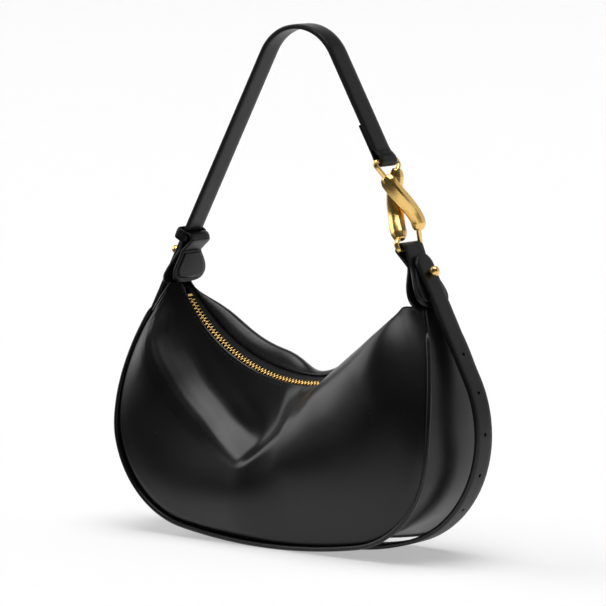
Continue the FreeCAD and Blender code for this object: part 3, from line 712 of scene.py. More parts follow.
def gusset_surface(t, s):
    """Gusset from the front piping (s = 0) to the back piping (s = 1), hollow under the bag."""
    x, z, normal_x, normal_z = outline(t)
    across = 2 * s - 1
    under = np.maximum(0, -normal_z) ** 2
    swell = (gusset_swell - gusset_hollow * under) * (1 - across * across) * fade(t)
    y = (depth_at(z, across) - piping_radius - gap) * across
    return xyz(x + swell * normal_x, y, z + swell * normal_z)


def gusset_lining_surface(t, s):
    """Gusset drawn in so that its lining stays between the front and back linings."""
    half = depth_at(outline(t)[1], s - 0.5) - piping_radius - gap
    return gusset_surface(t, 0.5 + (s - 0.5) * (half - lining_depth) / half)


def grid(surface, ts, ss):
    """Surface evaluated on a grid of places."""
    return surface(np.asarray(ts)[:, None], np.asarray(ss)[None, :])


def dress(piece, body, slot, *nodes):
    """Let a finished piece ride on a body in place of the CAD nodes it stands for."""
    if body:
        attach(piece, body)
    if nodes:
        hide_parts(*nodes)


def metres(point):
    """A point in metres."""
    return [float(c) / metre for c in point]


# Panels, gusset, lining and pocket
panel_ts = np.linspace(-1, 1, 241)
panel_ss = np.linspace(0, 1, 97) ** 1.25
lining_ts = np.linspace(-0.88, 0.88, 181)
lining_ss = np.linspace(0.08, 0.98, 61)
gusset_ss = np.linspace(0, 1, 49)
gusset_lining_ss = np.linspace(0, 1, 25)
pocket_ts = np.linspace(-0.28, 0.28, 41)
pocket_ss = np.linspace(0.34, 0.72, 31)
lining_depth = leather + 3 * gap
inside_depth = lining_depth + lining + gap
# The two halves of the bag: name, side, panel, sign of its inward normal, and where its blend starts and ends
halves = (("front", -1, front_surface, 1, -0.032, -0.010), ("back", 1, back_surface, -1, 0.026, 0.012))


def leather_sheet(name, surface, ss, inwards):
    """Leather panel over a whole surface."""
    return make(name + "_leather", [sheet(grid(surface, panel_ts, ss), leather, inwards)], [calf])


def cloth_sheet(name, surface, ts, ss, inwards, depth=lining_depth):
    """Lining cloth at a depth inside a surface."""
    return make(name + "_cloth", [sheet(grid(surface, ts, ss), lining, inwards, depth)], [lining_cloth])


for name, _, surface, inwards, start, end in halves:
    piece = leather_sheet(name, surface, panel_ss, inwards)
    dress(piece, None, "leather", name + "_panel")
    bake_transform(piece)
dress(leather_sheet("gusset", gusset_surface, gusset_ss, 1), "bag", "leather", "gusset")
for name, _, surface, inwards, start, end in halves:
    piece = cloth_sheet(name + "_lining", surface, lining_ts, lining_ss, inwards)
    dress(piece, None, "lining", name + "_lining")
    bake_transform(piece)
piece = cloth_sheet("gusset_lining", gusset_lining_surface, lining_ts, gusset_lining_ss, 1)
dress(piece, "bag", "lining", "gusset_lining")
piece = cloth_sheet("slip_pocket", back_surface, pocket_ts, pocket_ss, -1, inside_depth)
dress(piece, "bag", "lining", "slip_pocket")

# Piping, with rounded ends
piping_ts = np.linspace(-piping_reach, piping_reach, 221)
piping_x, piping_z = outline(piping_ts)[:2]
piping_rows = np.arange(len(piping_ts))
piping_ends = np.clip(np.minimum(piping_rows, piping_rows[::-1]) / piping_end_rows, 0, 1)
piping_radii = piping_radius * np.sqrt(np.clip(1 - (1 - piping_ends) ** 2, piping_end_share, 1))
for name, facing, *_ in halves:
    route = xyz(piping_x, facing * depth_at(piping_z, facing), piping_z)
    roll = make(name + "_piping_roll", [tube(route, piping_radii, piping_around)], [calf])
    dress(roll, "bag", "leather", name + "_piping")

# Lip stitching on both panels
lip_ts = np.linspace(-0.985, 0.955, 301)
lip_rows = np.arange(len(lip_ts))
for name, _, surface, inwards, *_ in halves:
    strip = grid(surface, lip_ts, np.linspace(0, 0.06, 13))
    runs = np.cumsum(np.linalg.norm(np.diff(strip, axis=1), axis=2), axis=1)
    normals = grid_normals(strip) * -inwards
    column = 1 + np.argmin(np.abs(runs - lip_seam_inset), axis=1)
    seam = stitches(name + "_lip_stitching", strip[lip_rows, column], normals[lip_rows, column])
    dress(seam, "mouth_" + name, "leather")


# Zip: tapes, then teeth
def zip_place(t, across, out):
    """Point beside the zip chain: along the arc at t, across and out of the mouth's tilted plane."""
    tilt = mouth_tilt(t)
    x, z = zip_line(t, tape_depth + tape_thickness / 2 - out * np.cos(tilt) - across * np.sin(tilt))
    return xyz(x, across * np.cos(tilt) - out * np.sin(tilt), z)


tape_ts = np.linspace(-0.98, 0.955, 161)
tape_shares = np.linspace(0, 1, 9)[None, :, None]
for name, facing, surface, inwards, *_ in halves:
    start = zip_place(tape_ts, facing * (chain_half_width + gap), -tape_thickness / 2)[:, None]
    edge = grid(surface, tape_ts, np.linspace(0, 0.01, 3))
    seat = edge[:, 0] + grid_normals(edge)[:, 0] * inwards * (leather + 2 * gap)
    tape = sheet(start + (seat[:, None] - start) * tape_shares, tape_thickness, inwards)
    dress(make(name + "_zip_tape", [tape], [tape_cloth]), "mouth_" + name, "tape", "zip_tape_" + name)

# One tooth, a round-backed bar that tapers to its hook: places along Y, half widths and heights
tooth_stations = ((-3.2, 0.5, 0.9), (-2.9, 0.66, 1.2), (-0.3, 0.66, 1.2), (0.4, 0.52, 1.05), (0.8, 0.3, 0.8))
tooth_back = np.linspace(0, math.pi, 6)
tooth_rings = []
for y, width, height in tooth_stations:
    round_height = height * tooth_back_share
    top = xyz(width * np.cos(tooth_back), y, height - round_height + round_height * np.sin(tooth_back))
    tooth_rings.append(np.concatenate([top, [[-width, y, -height], [width, y, -height]]]))
tooth = make("zip_tooth", [skin_over(np.array(tooth_rings))], [zip_gold])
tooth_share = tooth_pitch / zip_half_length
for name, facing, *_ in halves:
    ts = (np.arange(tooth_count) - (tooth_count - 1) / 2) * tooth_share + (facing > 0) * tooth_share / 2
    angle = ts * zip_half_angle
    tilt = mouth_tilt(ts)
    along = xyz(np.cos(angle), 0, np.sin(angle)) * -facing
    up = xyz(-np.sin(angle) * np.cos(tilt), -np.sin(tilt), np.cos(angle) * np.cos(tilt))
    teeth = repeat(name + "_zip_teeth", zip_place(ts, 0.0, 0.0), along, up, tooth, zip_gold)
    dress(teeth, "mouth_" + name, "gold", "zip_teeth_" + name)


# Strap: chains of straight runs and arcs in the XZ plane
def directions(heading):
    """Unit vectors in the XZ plane along a heading and to its left."""
    along = np.array([math.cos(heading), 0, math.sin(heading)])
    return along, np.array([-along[2], 0, along[0]])


def run_point(run, distance):
    """Point at a distance along a run: x, z and heading."""
    x, z, heading, length, turn = run
    if turn == 0:
        return x + distance * math.cos(heading), z + distance * math.sin(heading), heading
    radius = length / turn
    end = heading + turn * distance / length
    x = x + radius * (math.sin(end) - math.sin(heading))
    return x, z + radius * (math.cos(heading) - math.cos(end)), end


def walk(x, z, heading, moves):
    """Chain of runs from a point; a move is a length and a turn to the left, 0 for a straight run."""
    chain = []
    for length, turn in moves:
        chain.append((x, z, heading, length, turn))
        x, z, heading = run_point(chain[-1], length)
    return chain


def chain_point(chain, distance):
    """Point at a distance along a whole chain: x, z and heading."""
    for run in chain[:-1]:
        if distance <= run[3]:
            return run_point(run, distance)
        distance -= run[3]
    return run_point(chain[-1], distance)


def arc_move(radius, turn):
    """Move along an arc."""
    return radius * abs(turn), turn


def moves_length(moves):
    """Length of several moves."""
    return sum(move[0] for move in moves)


half_strap = strap_thickness / 2
half_strap_width = strap_width / 2
tab_stack = gap + tab_leaf + tab_patch + gap + half_strap
tail_side_radius = (corner_z - tail_z) * tail_round_share
lift_sine = math.sin(tail_lift_turn)
lift_cosine = math.cos(tail_lift_turn)
reach = tail_x - tail_flat
climb = tail_z - half_strap
turn_scale = lift_sine * lift_cosine - (1 - lift_sine) * (1 - lift_cosine)
lift_radius = (reach * lift_cosine - (1 - lift_sine) * climb) / turn_scale
bend_radius = (lift_sine * climb - (1 - lift_cosine) * reach) / turn_scale
from_x = corner_x - (tail_x - tail_side_radius)
from_z = corner_z - tail_z
lean = math.atan2(from_z, from_x) - math.acos((tail_side_radius - tab_stack) / math.hypot(from_x, from_z))
outward, upward = directions(lean)
tab_corner = np.array([corner_x, 0, corner_z])
tail_pass = np.array([corner_x + tab_stack / math.cos(lean), 0, corner_z])
arc_end = np.array([tail_x - tail_side_radius, 0, tail_z]) + outward * tail_side_radius
straight = np.linalg.norm(tail_pass - arc_end)
stud_height = tab_length - stud_drop
tip_height = stud_height + tail_tip_length


def beside_tab(height, offset):
    """Point beside the right tab, a height above the corner and an offset out from the strap's middle."""
    return tail_pass + upward * height + outward * offset


tail_moves = [(tail_flat, 0), arc_move(lift_radius, tail_lift_turn),
              arc_move(bend_radius, math.pi / 2 - tail_lift_turn), arc_move(tail_side_radius, lean)]
tail_start = moves_length(tail_moves)


def both_sides(half):
    """Columns from one edge of a strap to the other, given from the middle to one edge."""
    half = np.array(half)
    return np.concatenate([half[:0:-1] * [-1, 1], half])


# Columns across a strap, a tab and a pad, with rolled edges: shares of the half width and half thickness
strap_columns = both_sides(((0, strap_crown), (0.13, strap_crown), (0.26, strap_crown), (0.6, 1.04),
                            (0.94, 1), (0.985, 0.82), (1, 0.5)))
tab_columns = both_sides(((0, 1), (0.13, 1), (0.26, 1), (0.6, 1), (0.95, 1), (0.985, 0.75), (1, 0.35)))
pad_columns = both_sides(((0, 1.16), (0.3, 1.12), (0.6, 1), (0.78, 0.86), (0.9, 0.9), (0.97, 0.6), (1, 0.05)))
middle_column = 6
hole_columns = 2


def band(places, headings, half_widths, half_thickness, holes=(), columns=strap_columns):
    """Strap part along points in the XZ plane with a width along Y; holes are (row, radius) pairs."""
    normals = xyz(-np.sin(headings), 0, np.cos(headings))
    across, heights = columns.T
    wide = np.broadcast_to(half_widths, len(places))[:, None] * across
    flat = places[:, None] + wide[..., None] * across_bag
    thick = (half_thickness * heights)[:, None] * normals[:, None]
    rings = np.concatenate([flat + thick, (flat - thick)[:, ::-1]], axis=1)
    many = len(columns)
    around = 2 * many
    face = [0] * (many - 3)
    points, faces, kinds = skin_over(rings, [1] + face + [1, 1, 1] + face + [1, 1], ends=None)
    for start in (0, (len(places) - 1) * around):
        for j in range(many - 1):
            faces.append((start + j, start + j + 1, start + around - 2 - j, start + around - 1 - j))
            kinds.append(1)
    for row, radius in holes:
        points, faces, kinds = punch(points, faces, kinds, around, row, radius)
    return points, faces, kinds


def punch(points, faces, kinds, around, row, radius):
    """Round hole through a strap part at a row, in place of the squares round its middle."""
    steps = range(-hole_columns, hole_columns + 1)
    border = [(-hole_columns, j) for j in steps] + [(i, hole_columns) for i in steps[1:]]
    border += [(hole_columns, j) for j in steps[-2::-1]] + [(i, -hole_columns) for i in steps[-2:0:-1]]

    def corner(i, j, low):
        column = middle_column + j
        return (row + i) * around + (around - 1 - column if low else column)

    inside = set()
    for low in (False, True):
        for i in steps[:-1]:
            for j in steps[:-1]:
                square = [corner(i + a, j + b, low) for a in (0, 1) for b in (0, 1)]
                inside.add(frozenset(square))
    kept = [n for n, face in enumerate(faces) if frozenset(face) not in inside]
    faces = [faces[n] for n in kept]
    kinds = [kinds[n] for n in kept]
    circles = []
    for low in (False, True):
        middle = points[corner(0, 0, low)]
        ring = [corner(i, j, low) for i, j in border]
        spots = list(range(len(points), len(points) + len(ring)))
        points = np.concatenate([points, middle + unit(points[ring] - middle) * radius])
        circles.append((ring, spots))
    walls = circles + [(circles[0][1], circles[1][1])]
    for kind, (first, second) in zip((0, 0, 1), walls):
        for n in range(len(border)):
            m = (n + 1) % len(border)
            faces.append((first[n], first[m], second[m], second[n]))
            kinds.append(kind)
    return points, faces, kinds


def chain_band(chain, length, holes=(), radii=(), tip=False):
    """Strap part along a chain, with five rows at each punched hole and, if asked, a rounded tip."""
    rows = list(np.linspace(0, length, int(length / row_spacing)))
    for hole in holes:
        rows = [row for row in rows if abs(row - hole) > hole_row_reach + hole_row_margin]
        rows += [hole + hole_row_reach * share for share in (-1, -0.5, 0, 0.5, 1)]
    rows = np.array(sorted(rows))
    widths = half_strap_width
    if tip:
        tip_start = length - half_strap_width
        rounding = length - half_strap_width * np.cos(np.linspace(0, math.pi / 2 - tip_end_turn, tip_rows))
        rows = np.unique(np.round(np.concatenate([rows[rows < tip_start], rounding]), 4))
        past = np.clip((rows - tip_start) / half_strap_width, 0, 1)
        widths = half_strap_width * np.sqrt(np.maximum(1 - past ** 2, tip_end_share))
    middles = [int(np.argmin(np.abs(rows - hole))) for hole in holes]
    x, z, headings = np.array([chain_point(chain, row) for row in rows]).T
    return band(xyz(x, 0, z), headings, widths, half_strap, zip(middles, radii))


def route_band(route, half_widths, half_thickness, columns=strap_columns):
    """Strap part along a list of points in the XZ plane."""
    way = unit(np.gradient(route, axis=0))
    return band(route, np.arctan2(way[:, 2], way[:, 0]), half_widths, half_thickness, columns=columns)


# Right tail: from the middle of the base to the buttoned tip
right_length = tail_start + straight + tip_height
right_chain = walk(0, half_strap, 0.0, tail_moves + [(straight + tip_height, 0)])
stud_run = right_length - tail_tip_length
holes = [stud_run] + [stud_run - first_hole_drop - i * hole_pitch for i in range(hole_count)]
hole_radii = [stud_hole_radius] + [hole_radius] * hole_count
right_tail = make("buttoned_strap_tail", [chain_band(right_chain, right_length, holes, hole_radii, tip=True)],
                  strap_finishes)
dress(right_tail, None, "leather", "strap_tail_right", "strap_tail_end")
hinge_run = moves_length(tail_moves[:3]) - bend_radius * tail_hinge_turn
hinge_x, hinge_z, hinge_heading = chain_point(right_chain, hinge_run)
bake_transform(right_tail)

# Left tail: from the middle of the base, past the left stud, to the keeper
left_top = straight + tab_length + keeper_run
left_chain = walk(0, half_strap, 0.0, tail_moves + [(left_top, 0)])
left_stud_run = tail_start + straight + stud_height
left_part = chain_band(left_chain, tail_start + left_top, [left_stud_run], [stud_hole_radius])
left_tail = make("strap_left_run", [mirrored(left_part)], strap_finishes)
dress(left_tail, None, "leather", "strap_base", "strap_tail_left", "strap_keeper_run")
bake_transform(left_tail)

# Handle: from the keeper over the top to the twisted link, where its outer layer folds round the wire
loop_centre = beside_tab(tab_length + loop_rise, -half_strap - gap - tab_leaf - loop_bore)
link_out, link_up = directions(link_lean)
upper_eye = loop_centre + link_up * link_length
run_end = beside_tab(tab_length + keeper_run, 0)
apex_z = handle_height - half_strap - apex_radius
limb_length = (apex_z + apex_radius * math.sin(lean) - run_end[2]) / math.cos(lean)
touch = run_end + upward * limb_length
apex_x = -touch[0] + apex_radius * math.cos(lean)
eye_distance = math.hypot(upper_eye[0] - apex_x, upper_eye[2] - apex_z)
right_lean = math.atan2(upper_eye[2] - apex_z, upper_eye[0] - apex_x) + math.acos(apex_radius / eye_distance)
right_limb = math.sqrt(eye_distance ** 2 - apex_radius ** 2)
eye_layer_radius = link_wire_radius + gap + strap_layer / 2
handle_moves = [(limb_length, 0), arc_move(apex_radius, lean - math.pi / 2),
                arc_move(apex_radius, right_lean - math.pi / 2), (right_limb, 0)]
handle_chain = walk(-run_end[0], run_end[2], math.pi / 2 - lean, handle_moves)
handle_length = moves_length(handle_moves) - hidden_handle_end
limb_way, limb_left = directions(right_lean - math.pi / 2)
layer_offset = half_strap + strap_layer / 2
# The folded layer's way back on the strap's outer side: distances back from the eye and offsets
fold_return = ((2.5, 3.1), (5, 2.4), (7.5, 1.35), (10, 0.86), (12, 0.83), (17, 0.6))


def near_eye(back, offset):
    """Point near the strap's folded end: back from the eye along the strap, offset to its outer side."""
    return upper_eye - limb_way * back + limb_left * offset


fold = [near_eye(back, -layer_offset) for back in np.linspace(fold_end_length, fold_slope_length, 8)]
for back in (5, 2):
    slope = (fold_slope_length - back) / fold_slope_length
    fold.append(near_eye(back, -layer_offset - (eye_layer_radius - layer_offset) * slope))
for turn in np.linspace(0, math.pi, 15):
    fold.append(upper_eye + eye_layer_radius * (limb_way * math.sin(turn) - limb_left * math.cos(turn)))
fold += [near_eye(back, offset) for back, offset in fold_return]
fold_part = route_band(smooth_line(fold, fold_points), half_strap_width - fold_side_inset, strap_layer / 2)
handle = make("strap_handle", [chain_band(handle_chain, handle_length), fold_part], strap_finishes)
dress(handle, None, "leather", "strap_handle_left", "strap_handle_right")
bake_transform(handle)
seam_places = np.linspace(-fold_seam_half, fold_seam_half, fold_seam_points)[:, None]
fold_row = near_eye(fold_seam_back, half_strap * strap_crown) + across_bag * seam_places
fold_seam = stitches("strap_end_stitching", fold_row, np.tile(limb_left, (fold_seam_points, 1)), fine_stitch)
dress(fold_seam, "strap_right", "leather")

# Tabs: half of the teardrop from its neck to its lowest point, as shares of its half width and length
tab_shape = np.array([(0.6, 1), (0.66, 0.88), (0.82, 0.66), (0.97, 0.42), (0.98, 0.22), (0.72, 0.055),
                      (0, 0)])


def tab_outline(half, length, count):
    """Half widths and heights of a teardrop leaf, from its lowest point up to its neck."""
    both = np.concatenate([tab_shape, (tab_shape * [-1, 1])[-2::-1]])
    side = smooth_line(both * [half, length], 2 * tab_fine_points + 1)[tab_fine_points::-1]
    share = (1 - np.cos(np.linspace(0, math.pi / 2, count))) * tab_fine_points
    widths, heights = side[np.round(share).astype(int)].T
    return np.maximum(widths, tab_tip_half_width), heights


leaf_face = half_strap + gap + tab_patch + tab_leaf
inner_top = beside_tab(tab_length - 2 * gap, -leaf_face - gap)
inner_base = np.array([zip_half_span - gap, 0, corner_z])
inner_length = np.linalg.norm(inner_top - inner_base)
inner_up = (inner_top - inner_base) / inner_length
inner_in = np.cross(inner_up, across_bag)
loop_radius = loop_bore + tab_leaf / 2


def tab_route():
    """Middle line of the tab's leather, from outer leaf round the loop to inner leaf, and its half widths."""
    outer_widths, outer_heights = tab_outline(tab_half_width, tab_length, leaf_rows)
    inner_widths, inner_heights = tab_outline(tab_half_width, inner_length, leaf_rows)
    outer = [beside_tab(h, -leaf_face + tab_leaf / 2) for h in outer_heights]
    inner = [inner_base + inner_up * h + inner_in * tab_leaf / 2 for h in inner_heights]
    over = [loop_centre + loop_radius * (outward * math.cos(turn) + upward * math.sin(turn))
            for turn in np.linspace(0, math.pi, 17)]
    bridge = smooth_line(outer[-3:] + over + inner[:-4:-1], bridge_points)
    first = np.linalg.norm(bridge - outer[-1], axis=1).argmin()
    last = np.linalg.norm(bridge - inner[-1], axis=1).argmin()
    bridge = bridge[first + 1:last]
    neck = tab_half_width * tab_shape[0][0]
    share = np.sin(np.linspace(0, math.pi, len(bridge))) ** loop_widening
    widths = np.concatenate([outer_widths, neck + (loop_half_width - neck) * share, inner_widths[::-1]])
    return np.concatenate([outer, bridge, inner[::-1]]), widths


def leaf_pad(base, up, out, length):
    """Padded patch on a leaf, domed towards its middle, and the line for its stitches."""
    length = length * (1 - 2 * tab_margin / tab_length)
    base = base + up * tab_margin
    widths, heights = tab_outline(tab_half_width - tab_margin, length, pad_rows)
    shares, rises = pad_columns.T
    ease = np.sqrt(np.clip(heights / pad_ease, pad_ease_least, 1))
    spread = base + up * heights[:, None, None] + across_bag * (widths[:, None] * shares)[..., None]
    top = spread + out * (tab_patch * ease[:, None] * rises)[..., None]
    rings = np.concatenate([top, (spread - out * pad_sink)[:, ::-1]], axis=1)
    inset = pad_seam_inset
    line = [(w - inset, h) for w, h in zip(widths, heights) if w > inset + 1 and h > inset]
    both = [(-w, h) for w, h in line[::-1]] + line
    seam = [base + up * h + across_bag * w + out * tab_patch * pad_seam_rise for w, h in both]
    return skin_over(rings), smooth_line(seam, pad_seam_points)


def stud_part():
    """Ball stud on its post, turned about the strap's outward direction."""
    post = strap_thickness + 2 * gap + ball_radius
    seat = beside_tab(stud_height, -half_strap - gap)
    profile = [(post_radius, 0), (post_radius, post - post_end), (neck_radius, post - neck_end)]
    for turn in np.linspace(0.5, math.pi - 0.12, 14):
        profile.append((ball_radius * math.sin(turn), post - ball_radius * math.cos(turn)))
    angles = circle(ball_around)[:, None]
    ring = np.cos(angles) * across_bag + np.sin(angles) * upward
    return skin_over(np.array([seat + outward * height + radius * ring for radius, height in profile]))


def hung(points, flip):
    """A tab's points as it hangs: on the left its top down and out, on the right its inner tip down."""
    height = (points - tab_corner) @ upward
    if flip < 0:
        pulled = step(height, *left_pull_span)[:, None]
        return points - pulled * (upward * left_tab_drop - outward * left_tab_reach)
    inner = (points - beside_tab(0, -leaf_face)) @ outward < -1
    low = 1 - step(height, *right_leaf_span)
    return points - (low * inner)[:, None] * upward * right_leaf_drop


def placed(part, flip):
    """Right tab's part where it hangs on the right (flip 1) or on the left (flip -1)."""
    points, faces, kinds = part
    part = hung(points, flip), faces, kinds
    return part if flip > 0 else mirrored(part)


route, route_widths = tab_route()
tab_part = route_band(route, route_widths, tab_leaf / 2, tab_columns)
outer_pad = leaf_pad(beside_tab(0, -leaf_face) + outward * tab_leaf, upward, outward, tab_length)
inner_pad = leaf_pad(inner_base + inner_in * tab_leaf, inner_up, inner_in, inner_length)
for side, flip in (("right", 1), ("left", -1)):
    turned = np.array([flip, 1, 1])
    tab = make(side + "_tab", [placed(tab_part, flip)], strap_finishes)
    dress(tab, None, "leather", side + "_tab_outer_leaf", side + "_tab_inner_leaf", side + "_tab_loop")
    start, end = [metres(beside_tab(height, tab_blend_offset) * turned) for height in tab_blend]
    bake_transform(tab)
    for (pad, seam_line), out, layer in ((outer_pad, outward, "outer"), (inner_pad, inner_in, "inner")):
        name = side + "_tab_" + layer
        pad_piece = make(name + "_pad", [placed(pad, flip)], strap_finishes, sharp=65)
        dress(pad_piece, "bag", "leather", name + "_patch")
        ups = np.tile(out * turned, (pad_seam_points, 1))
        seam = stitches(name + "_stitching", hung(seam_line, flip) * turned, ups, fine_stitch)
        dress(seam, "bag", "leather")
    stud = make(side + "_ball_stud", [placed(stud_part(), flip)], [gold])
    dress(stud, "bag", "gold", side + "_stud")

# Keeper: a rolled leather ring through the left loop and round the strap's left limb
keeper_out = loop_bore + tab_leaf + 2 * gap + strap_thickness + keeper_wall / 2
keeper_side = loop_half_width + gap + keeper_side_gap
corners = [(0, keeper_inner_bend - keeper_side), (keeper_corner, keeper_corner - keeper_side),
           (keeper_bend, -keeper_side), (keeper_out - keeper_bend, -keeper_side),
           (keeper_out - keeper_corner, keeper_corner - keeper_side),
           (keeper_out, keeper_outer_bend - keeper_side)]
ring_line = smooth_line(corners + [(out, -across) for out, across in corners[::-1]] + corners[:1], 121)[:-1]
ring_way = unit(np.roll(ring_line, -1, 0) - np.roll(ring_line, 1, 0))
keeper_heights = keeper_low + keeper_rise * step(ring_line[:, 0], *keeper_rise_span)
sines = np.sin(circle(keeper_around))
cosines = np.cos(circle(keeper_around))
tall_shares = (np.sign(sines) * np.abs(sines) ** keeper_tall_square)[:, None]
thin = (keeper_half_wall * np.sign(cosines) * np.abs(cosines) ** keeper_thin_square)[:, None]
rings = []
for (out, across), (way_out, way_across), tall in zip(ring_line, ring_way, keeper_heights):
    base = loop_centre + outward * out + across_bag * across
    rings.append(base + thin * (outward * way_across - across_bag * way_out) + tall * tall_shares * upward)
keeper_part = skin_over(np.array(rings), ends=None, closed=True)
keeper = make("rolled_keeper", [placed(keeper_part, -1)], [strap_calf])
dress(keeper, "keeper", "leather", "strap_keeper")

# Twisted link: middle lines of its bars (along, across, out) from the top, and the turns of their broad faces
front_bar_line = ((60, -7.5, 1), (52, -6, 3.2), (44, -2.5, 5.2), (36, 2.5, 6.4), (28, 8, 6.6),
                  (20, 11.5, 6.5), (13, 11.5, 4.5))
back_bar_line = ((65, 9, 2), (56, 7, -1), (46, 5, -4.2), (37, 3, -5.4), (28, 0.5, -4.8), (18, -4, -3),
                 (8, -8, 0))
front_bar_turns = (70, 20)
back_bar_turns = (20, 60)
# Cross section of a bar, before its corners are cut: shares of its half width and half thickness
bar_section = ((1.0, 0.12), (0.42, 0.92), (-0.35, 0.98), (-1.0, 0.1), (-0.45, -0.92), (0.4, -0.95))


def link_line(points, count):
    """Smooth line through points of the link: along from its lower eye, across in Y and out of its plane."""
    along, across, out = np.array(points, float).T[..., None]
    return smooth_line(loop_centre + link_up * along + across_bag * across + link_out * out, count)


def bar_part(line, turns):
    """Faceted bar along a line of points, whose broad face turns on the way down."""
    route = link_line(line, bar_rows)
    way = unit(np.gradient(route, axis=0))
    facets = np.array(bar_section)
    for _ in range(3):
        ahead = np.roll(facets, -1, 0)
        cuts = [facets * (1 - facet_cut) + ahead * facet_cut, facets * facet_cut + ahead * (1 - facet_cut)]
        facets = np.stack(cuts, axis=1).reshape(-1, 2)
    rings = []
    for i, share in enumerate(np.linspace(0, 1, bar_rows)):
        turn = math.radians(turns[0] + (turns[1] - turns[0]) * share)
        face = link_out * math.cos(turn) - across_bag * math.sin(turn)
        face = unit(face - way[i] * (face @ way[i]))
        wide = np.cross(way[i], face) * bar_half_width
        whole = math.sqrt(min(1.0, min(share, 1 - share) / bar_end_reach))
        trim = bar_end_share + (1 - bar_end_share) * whole
        rings.append(route[i] + trim * (facets[:, :1] * wide + facets[:, 1:] * face * bar_half_thickness))
    return skin_over(np.array(rings))


def eye_part(level, inwards, first, last, leather_radius):
    """Wire eye at one end of the link, from inside one bar's end round the leather into the other's."""
    side = math.copysign(1, first[1])
    clear = level + inwards * (leather_radius + gap + link_wire_radius - 2)
    wide = link_eye_half_spread
    bends = [(clear, wide - 0.3, 1 / 3), (level + inwards * 1.6, wide, 0),
             (level - inwards * 0.1, wide - 1.2, 0), (level, wide - 3.5, 0), (level, 4, 0)]
    points = [first] + [(along, side * across, first[2] * share) for along, across, share in bends]
    points += [(along, -side * across, last[2] * share) for along, across, share in bends[::-1]] + [last]
    return tube(link_line(points, eye_points), link_wire_radius, link_wire_around)


link_parts = {
    "front_bar": bar_part(front_bar_line, front_bar_turns),
    "back_bar": bar_part(back_bar_line, back_bar_turns),
    "lower_eye": eye_part(0, 1, (16, 11.5, 5.4), (11, -7, -1), loop_bore + tab_leaf),
    "upper_eye": eye_part(link_length, -1, (62, 8.4, 1), (57, -7, 1.8), eye_layer_radius + 1)}
for name, part in link_parts.items():
    dress(make("gold_" + name, [part], [gold], sharp=60), "link", "gold", "link_" + name)

# Pieces that stay as the CAD made them take their material here
for node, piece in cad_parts.items():
    if piece.hide_render:
        continue
    piece.data.materials.clear()
    piece.data.materials.append(gold if node.startswith(("zip_", "left_stud", "right_stud")) else board)
    if node.startswith("zip_"):
        bevel = piece.modifiers.new("Soft edges", "BEVEL")
        bevel.width = soft_edge / metre
        bevel.segments = 2
        bevel.limit_method = "ANGLE"
bpy.data.objects.remove(stitch_shape)
bpy.data.objects.remove(tooth)

# Floor, walls, light and camera, in metres
stage_grey = linear("#c8c8c8")
dim_grey = linear("#101010")
white = linear("#ffffff")
dim_way = (-0.62, -0.78, 0)
dim_reach = 3
dim_left = 0.08
stage_roughness = 0.9
floor_half = 16
floor_glow = 0.43
floor_dim_from = 0.12
wall_distance = 12
wall_height = 8
wall_glow = 0.75
side_wall_distance = 9
side_wall_glow = 0.3
side_wall_share = 0.3
left_wall_height = 1.6
room_glow = 0.06
azimuth = math.radians(37.9)
elevation = math.radians(7)
camera_distance = 4
camera_lens = 293.5
picture_size = 606
target = Vector((-0.0003, -0.0002, 0.1947))
level = math.cos(elevation)
back = Vector((math.sin(azimuth) * level, -math.cos(azimuth) * level, math.sin(elevation)))
side_way = Vector((math.cos(azimuth), math.sin(azimuth), 0))
far = Vector((-back.x, -back.y, 0)).normalized() * wall_distance


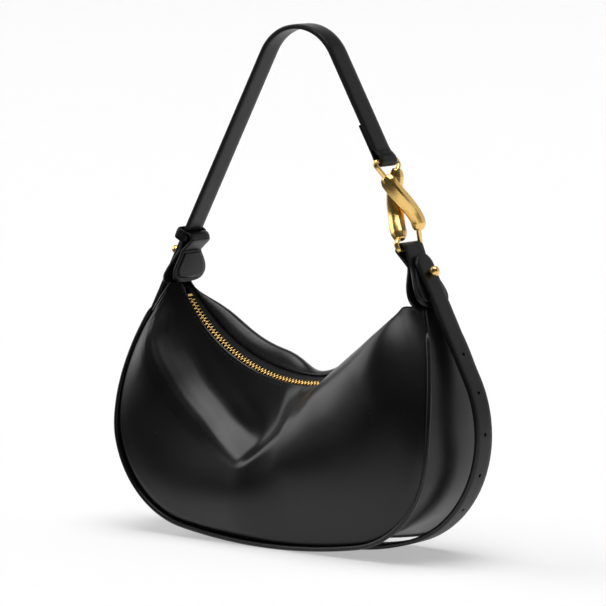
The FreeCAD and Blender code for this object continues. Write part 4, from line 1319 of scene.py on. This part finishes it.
def stage_material(name, glow, dim_from=None):
    """Pale surface that the camera, metal and glass see lifted towards white, and that keeps the shadow.

    From a distance in metres to the bag's front left, reflections see it dimmed, as in a room lit from above.
    """
    material, tree = new_material(name)
    path = add_node(tree, "ShaderNodeLightPath").outputs
    reflected = worked(tree, "MAXIMUM", path["Is Glossy Ray"], path["Is Transmission Ray"])
    seen = reflected
    shade = stage_grey
    if dim_from:
        place = add_node(tree, "ShaderNodeTexCoord").outputs["Object"]
        ahead = add_node(tree, "ShaderNodeVectorMath", {0: place, 1: dim_way}, operation="DOT_PRODUCT")
        near = add_node(tree, "ShaderNodeMapRange", {
            "Value": ahead.outputs["Value"], "From Min": dim_from, "From Max": dim_from * dim_reach,
            "To Min": 1.0, "To Max": dim_left}, interpolation_type="SMOOTHSTEP")
        seen = worked(tree, "MULTIPLY", reflected, near.outputs["Result"])
        shade = mixed(tree, worked(tree, "SUBTRACT", reflected, seen), stage_grey, dim_grey)
    seen = worked(tree, "MAXIMUM", seen, path["Is Camera Ray"])
    skin = add_node(tree, "ShaderNodeBsdfPrincipled", {
        "Base Color": shade, "Roughness": stage_roughness, "Specular IOR Level": 0.0, "Emission Color": white,
        "Emission Strength": worked(tree, "MULTIPLY", seen, glow)})
    add_node(tree, "ShaderNodeOutputMaterial", {"Surface": skin.outputs["BSDF"]})
    return material


def plane(name, corners, material):
    """Flat four-cornered sheet of the stage."""
    mesh = bpy.data.meshes.new(name)
    mesh.from_pydata(corners, [], [(0, 1, 2, 3)])
    mesh.materials.append(material)
    add_object(name, mesh)


def wall(name, first, last, height, material):
    """Upright sheet of the stage over a line on the floor."""
    top = Vector((0, 0, height))
    plane(name, [first, last, last + top, first + top], material)


floor_corners = [(x * floor_half, y * floor_half, 0) for x, y in ((-1, -1), (1, -1), (1, 1), (-1, 1))]
plane("studio_floor", floor_corners, stage_material("white studio floor", floor_glow, floor_dim_from))
backdrop_reach = side_way * wall_distance
wall("studio_backdrop", far - backdrop_reach, far + backdrop_reach, wall_height,
     stage_material("white studio backdrop", wall_glow))
for name, sign, height in (("right", 1, wall_height), ("left", -1, left_wall_height)):
    foot = side_way * (sign * side_wall_distance)
    side_grey = stage_material("grey studio " + name + " wall", side_wall_glow)
    wall("studio_" + name + "_wall", foot - far * side_wall_share, foot + far, height, side_grey)

world = bpy.data.worlds.new("dim studio room")
bpy.context.scene.world = world
world.use_nodes = True
room = world.node_tree.nodes["Background"].inputs
room["Color"].default_value = white
room["Strength"].default_value = room_glow


def sun(name, where, energy, spread):
    """Sun lamp that shines from a place to the bag, with a spread in degrees."""
    data = bpy.data.lights.new(name, "SUN")
    data.energy = energy
    data.angle = math.radians(spread)
    lamp = add_object(name, data)
    lamp.location = where
    lamp.rotation_euler = (-Vector(where)).to_track_quat("-Z", "Y").to_euler()


sun("overhead softbox", (0.15, 0.0, 3), 2.2, 45)
sun("left softbox", (-2.7, -0.6, 1.4), 1.5, 55)

camera = add_object("camera", bpy.data.cameras.new("camera"))
camera.data.lens = camera_lens
camera.data.sensor_width = 36
camera.data.clip_end = 60
camera.location = target + back * camera_distance
camera.rotation_euler = (-back).to_track_quat("-Z", "Y").to_euler()
scene = bpy.context.scene
scene.camera = camera
scene.render.resolution_x = picture_size
scene.render.resolution_y = picture_size
scene.view_settings.view_transform = "Standard"
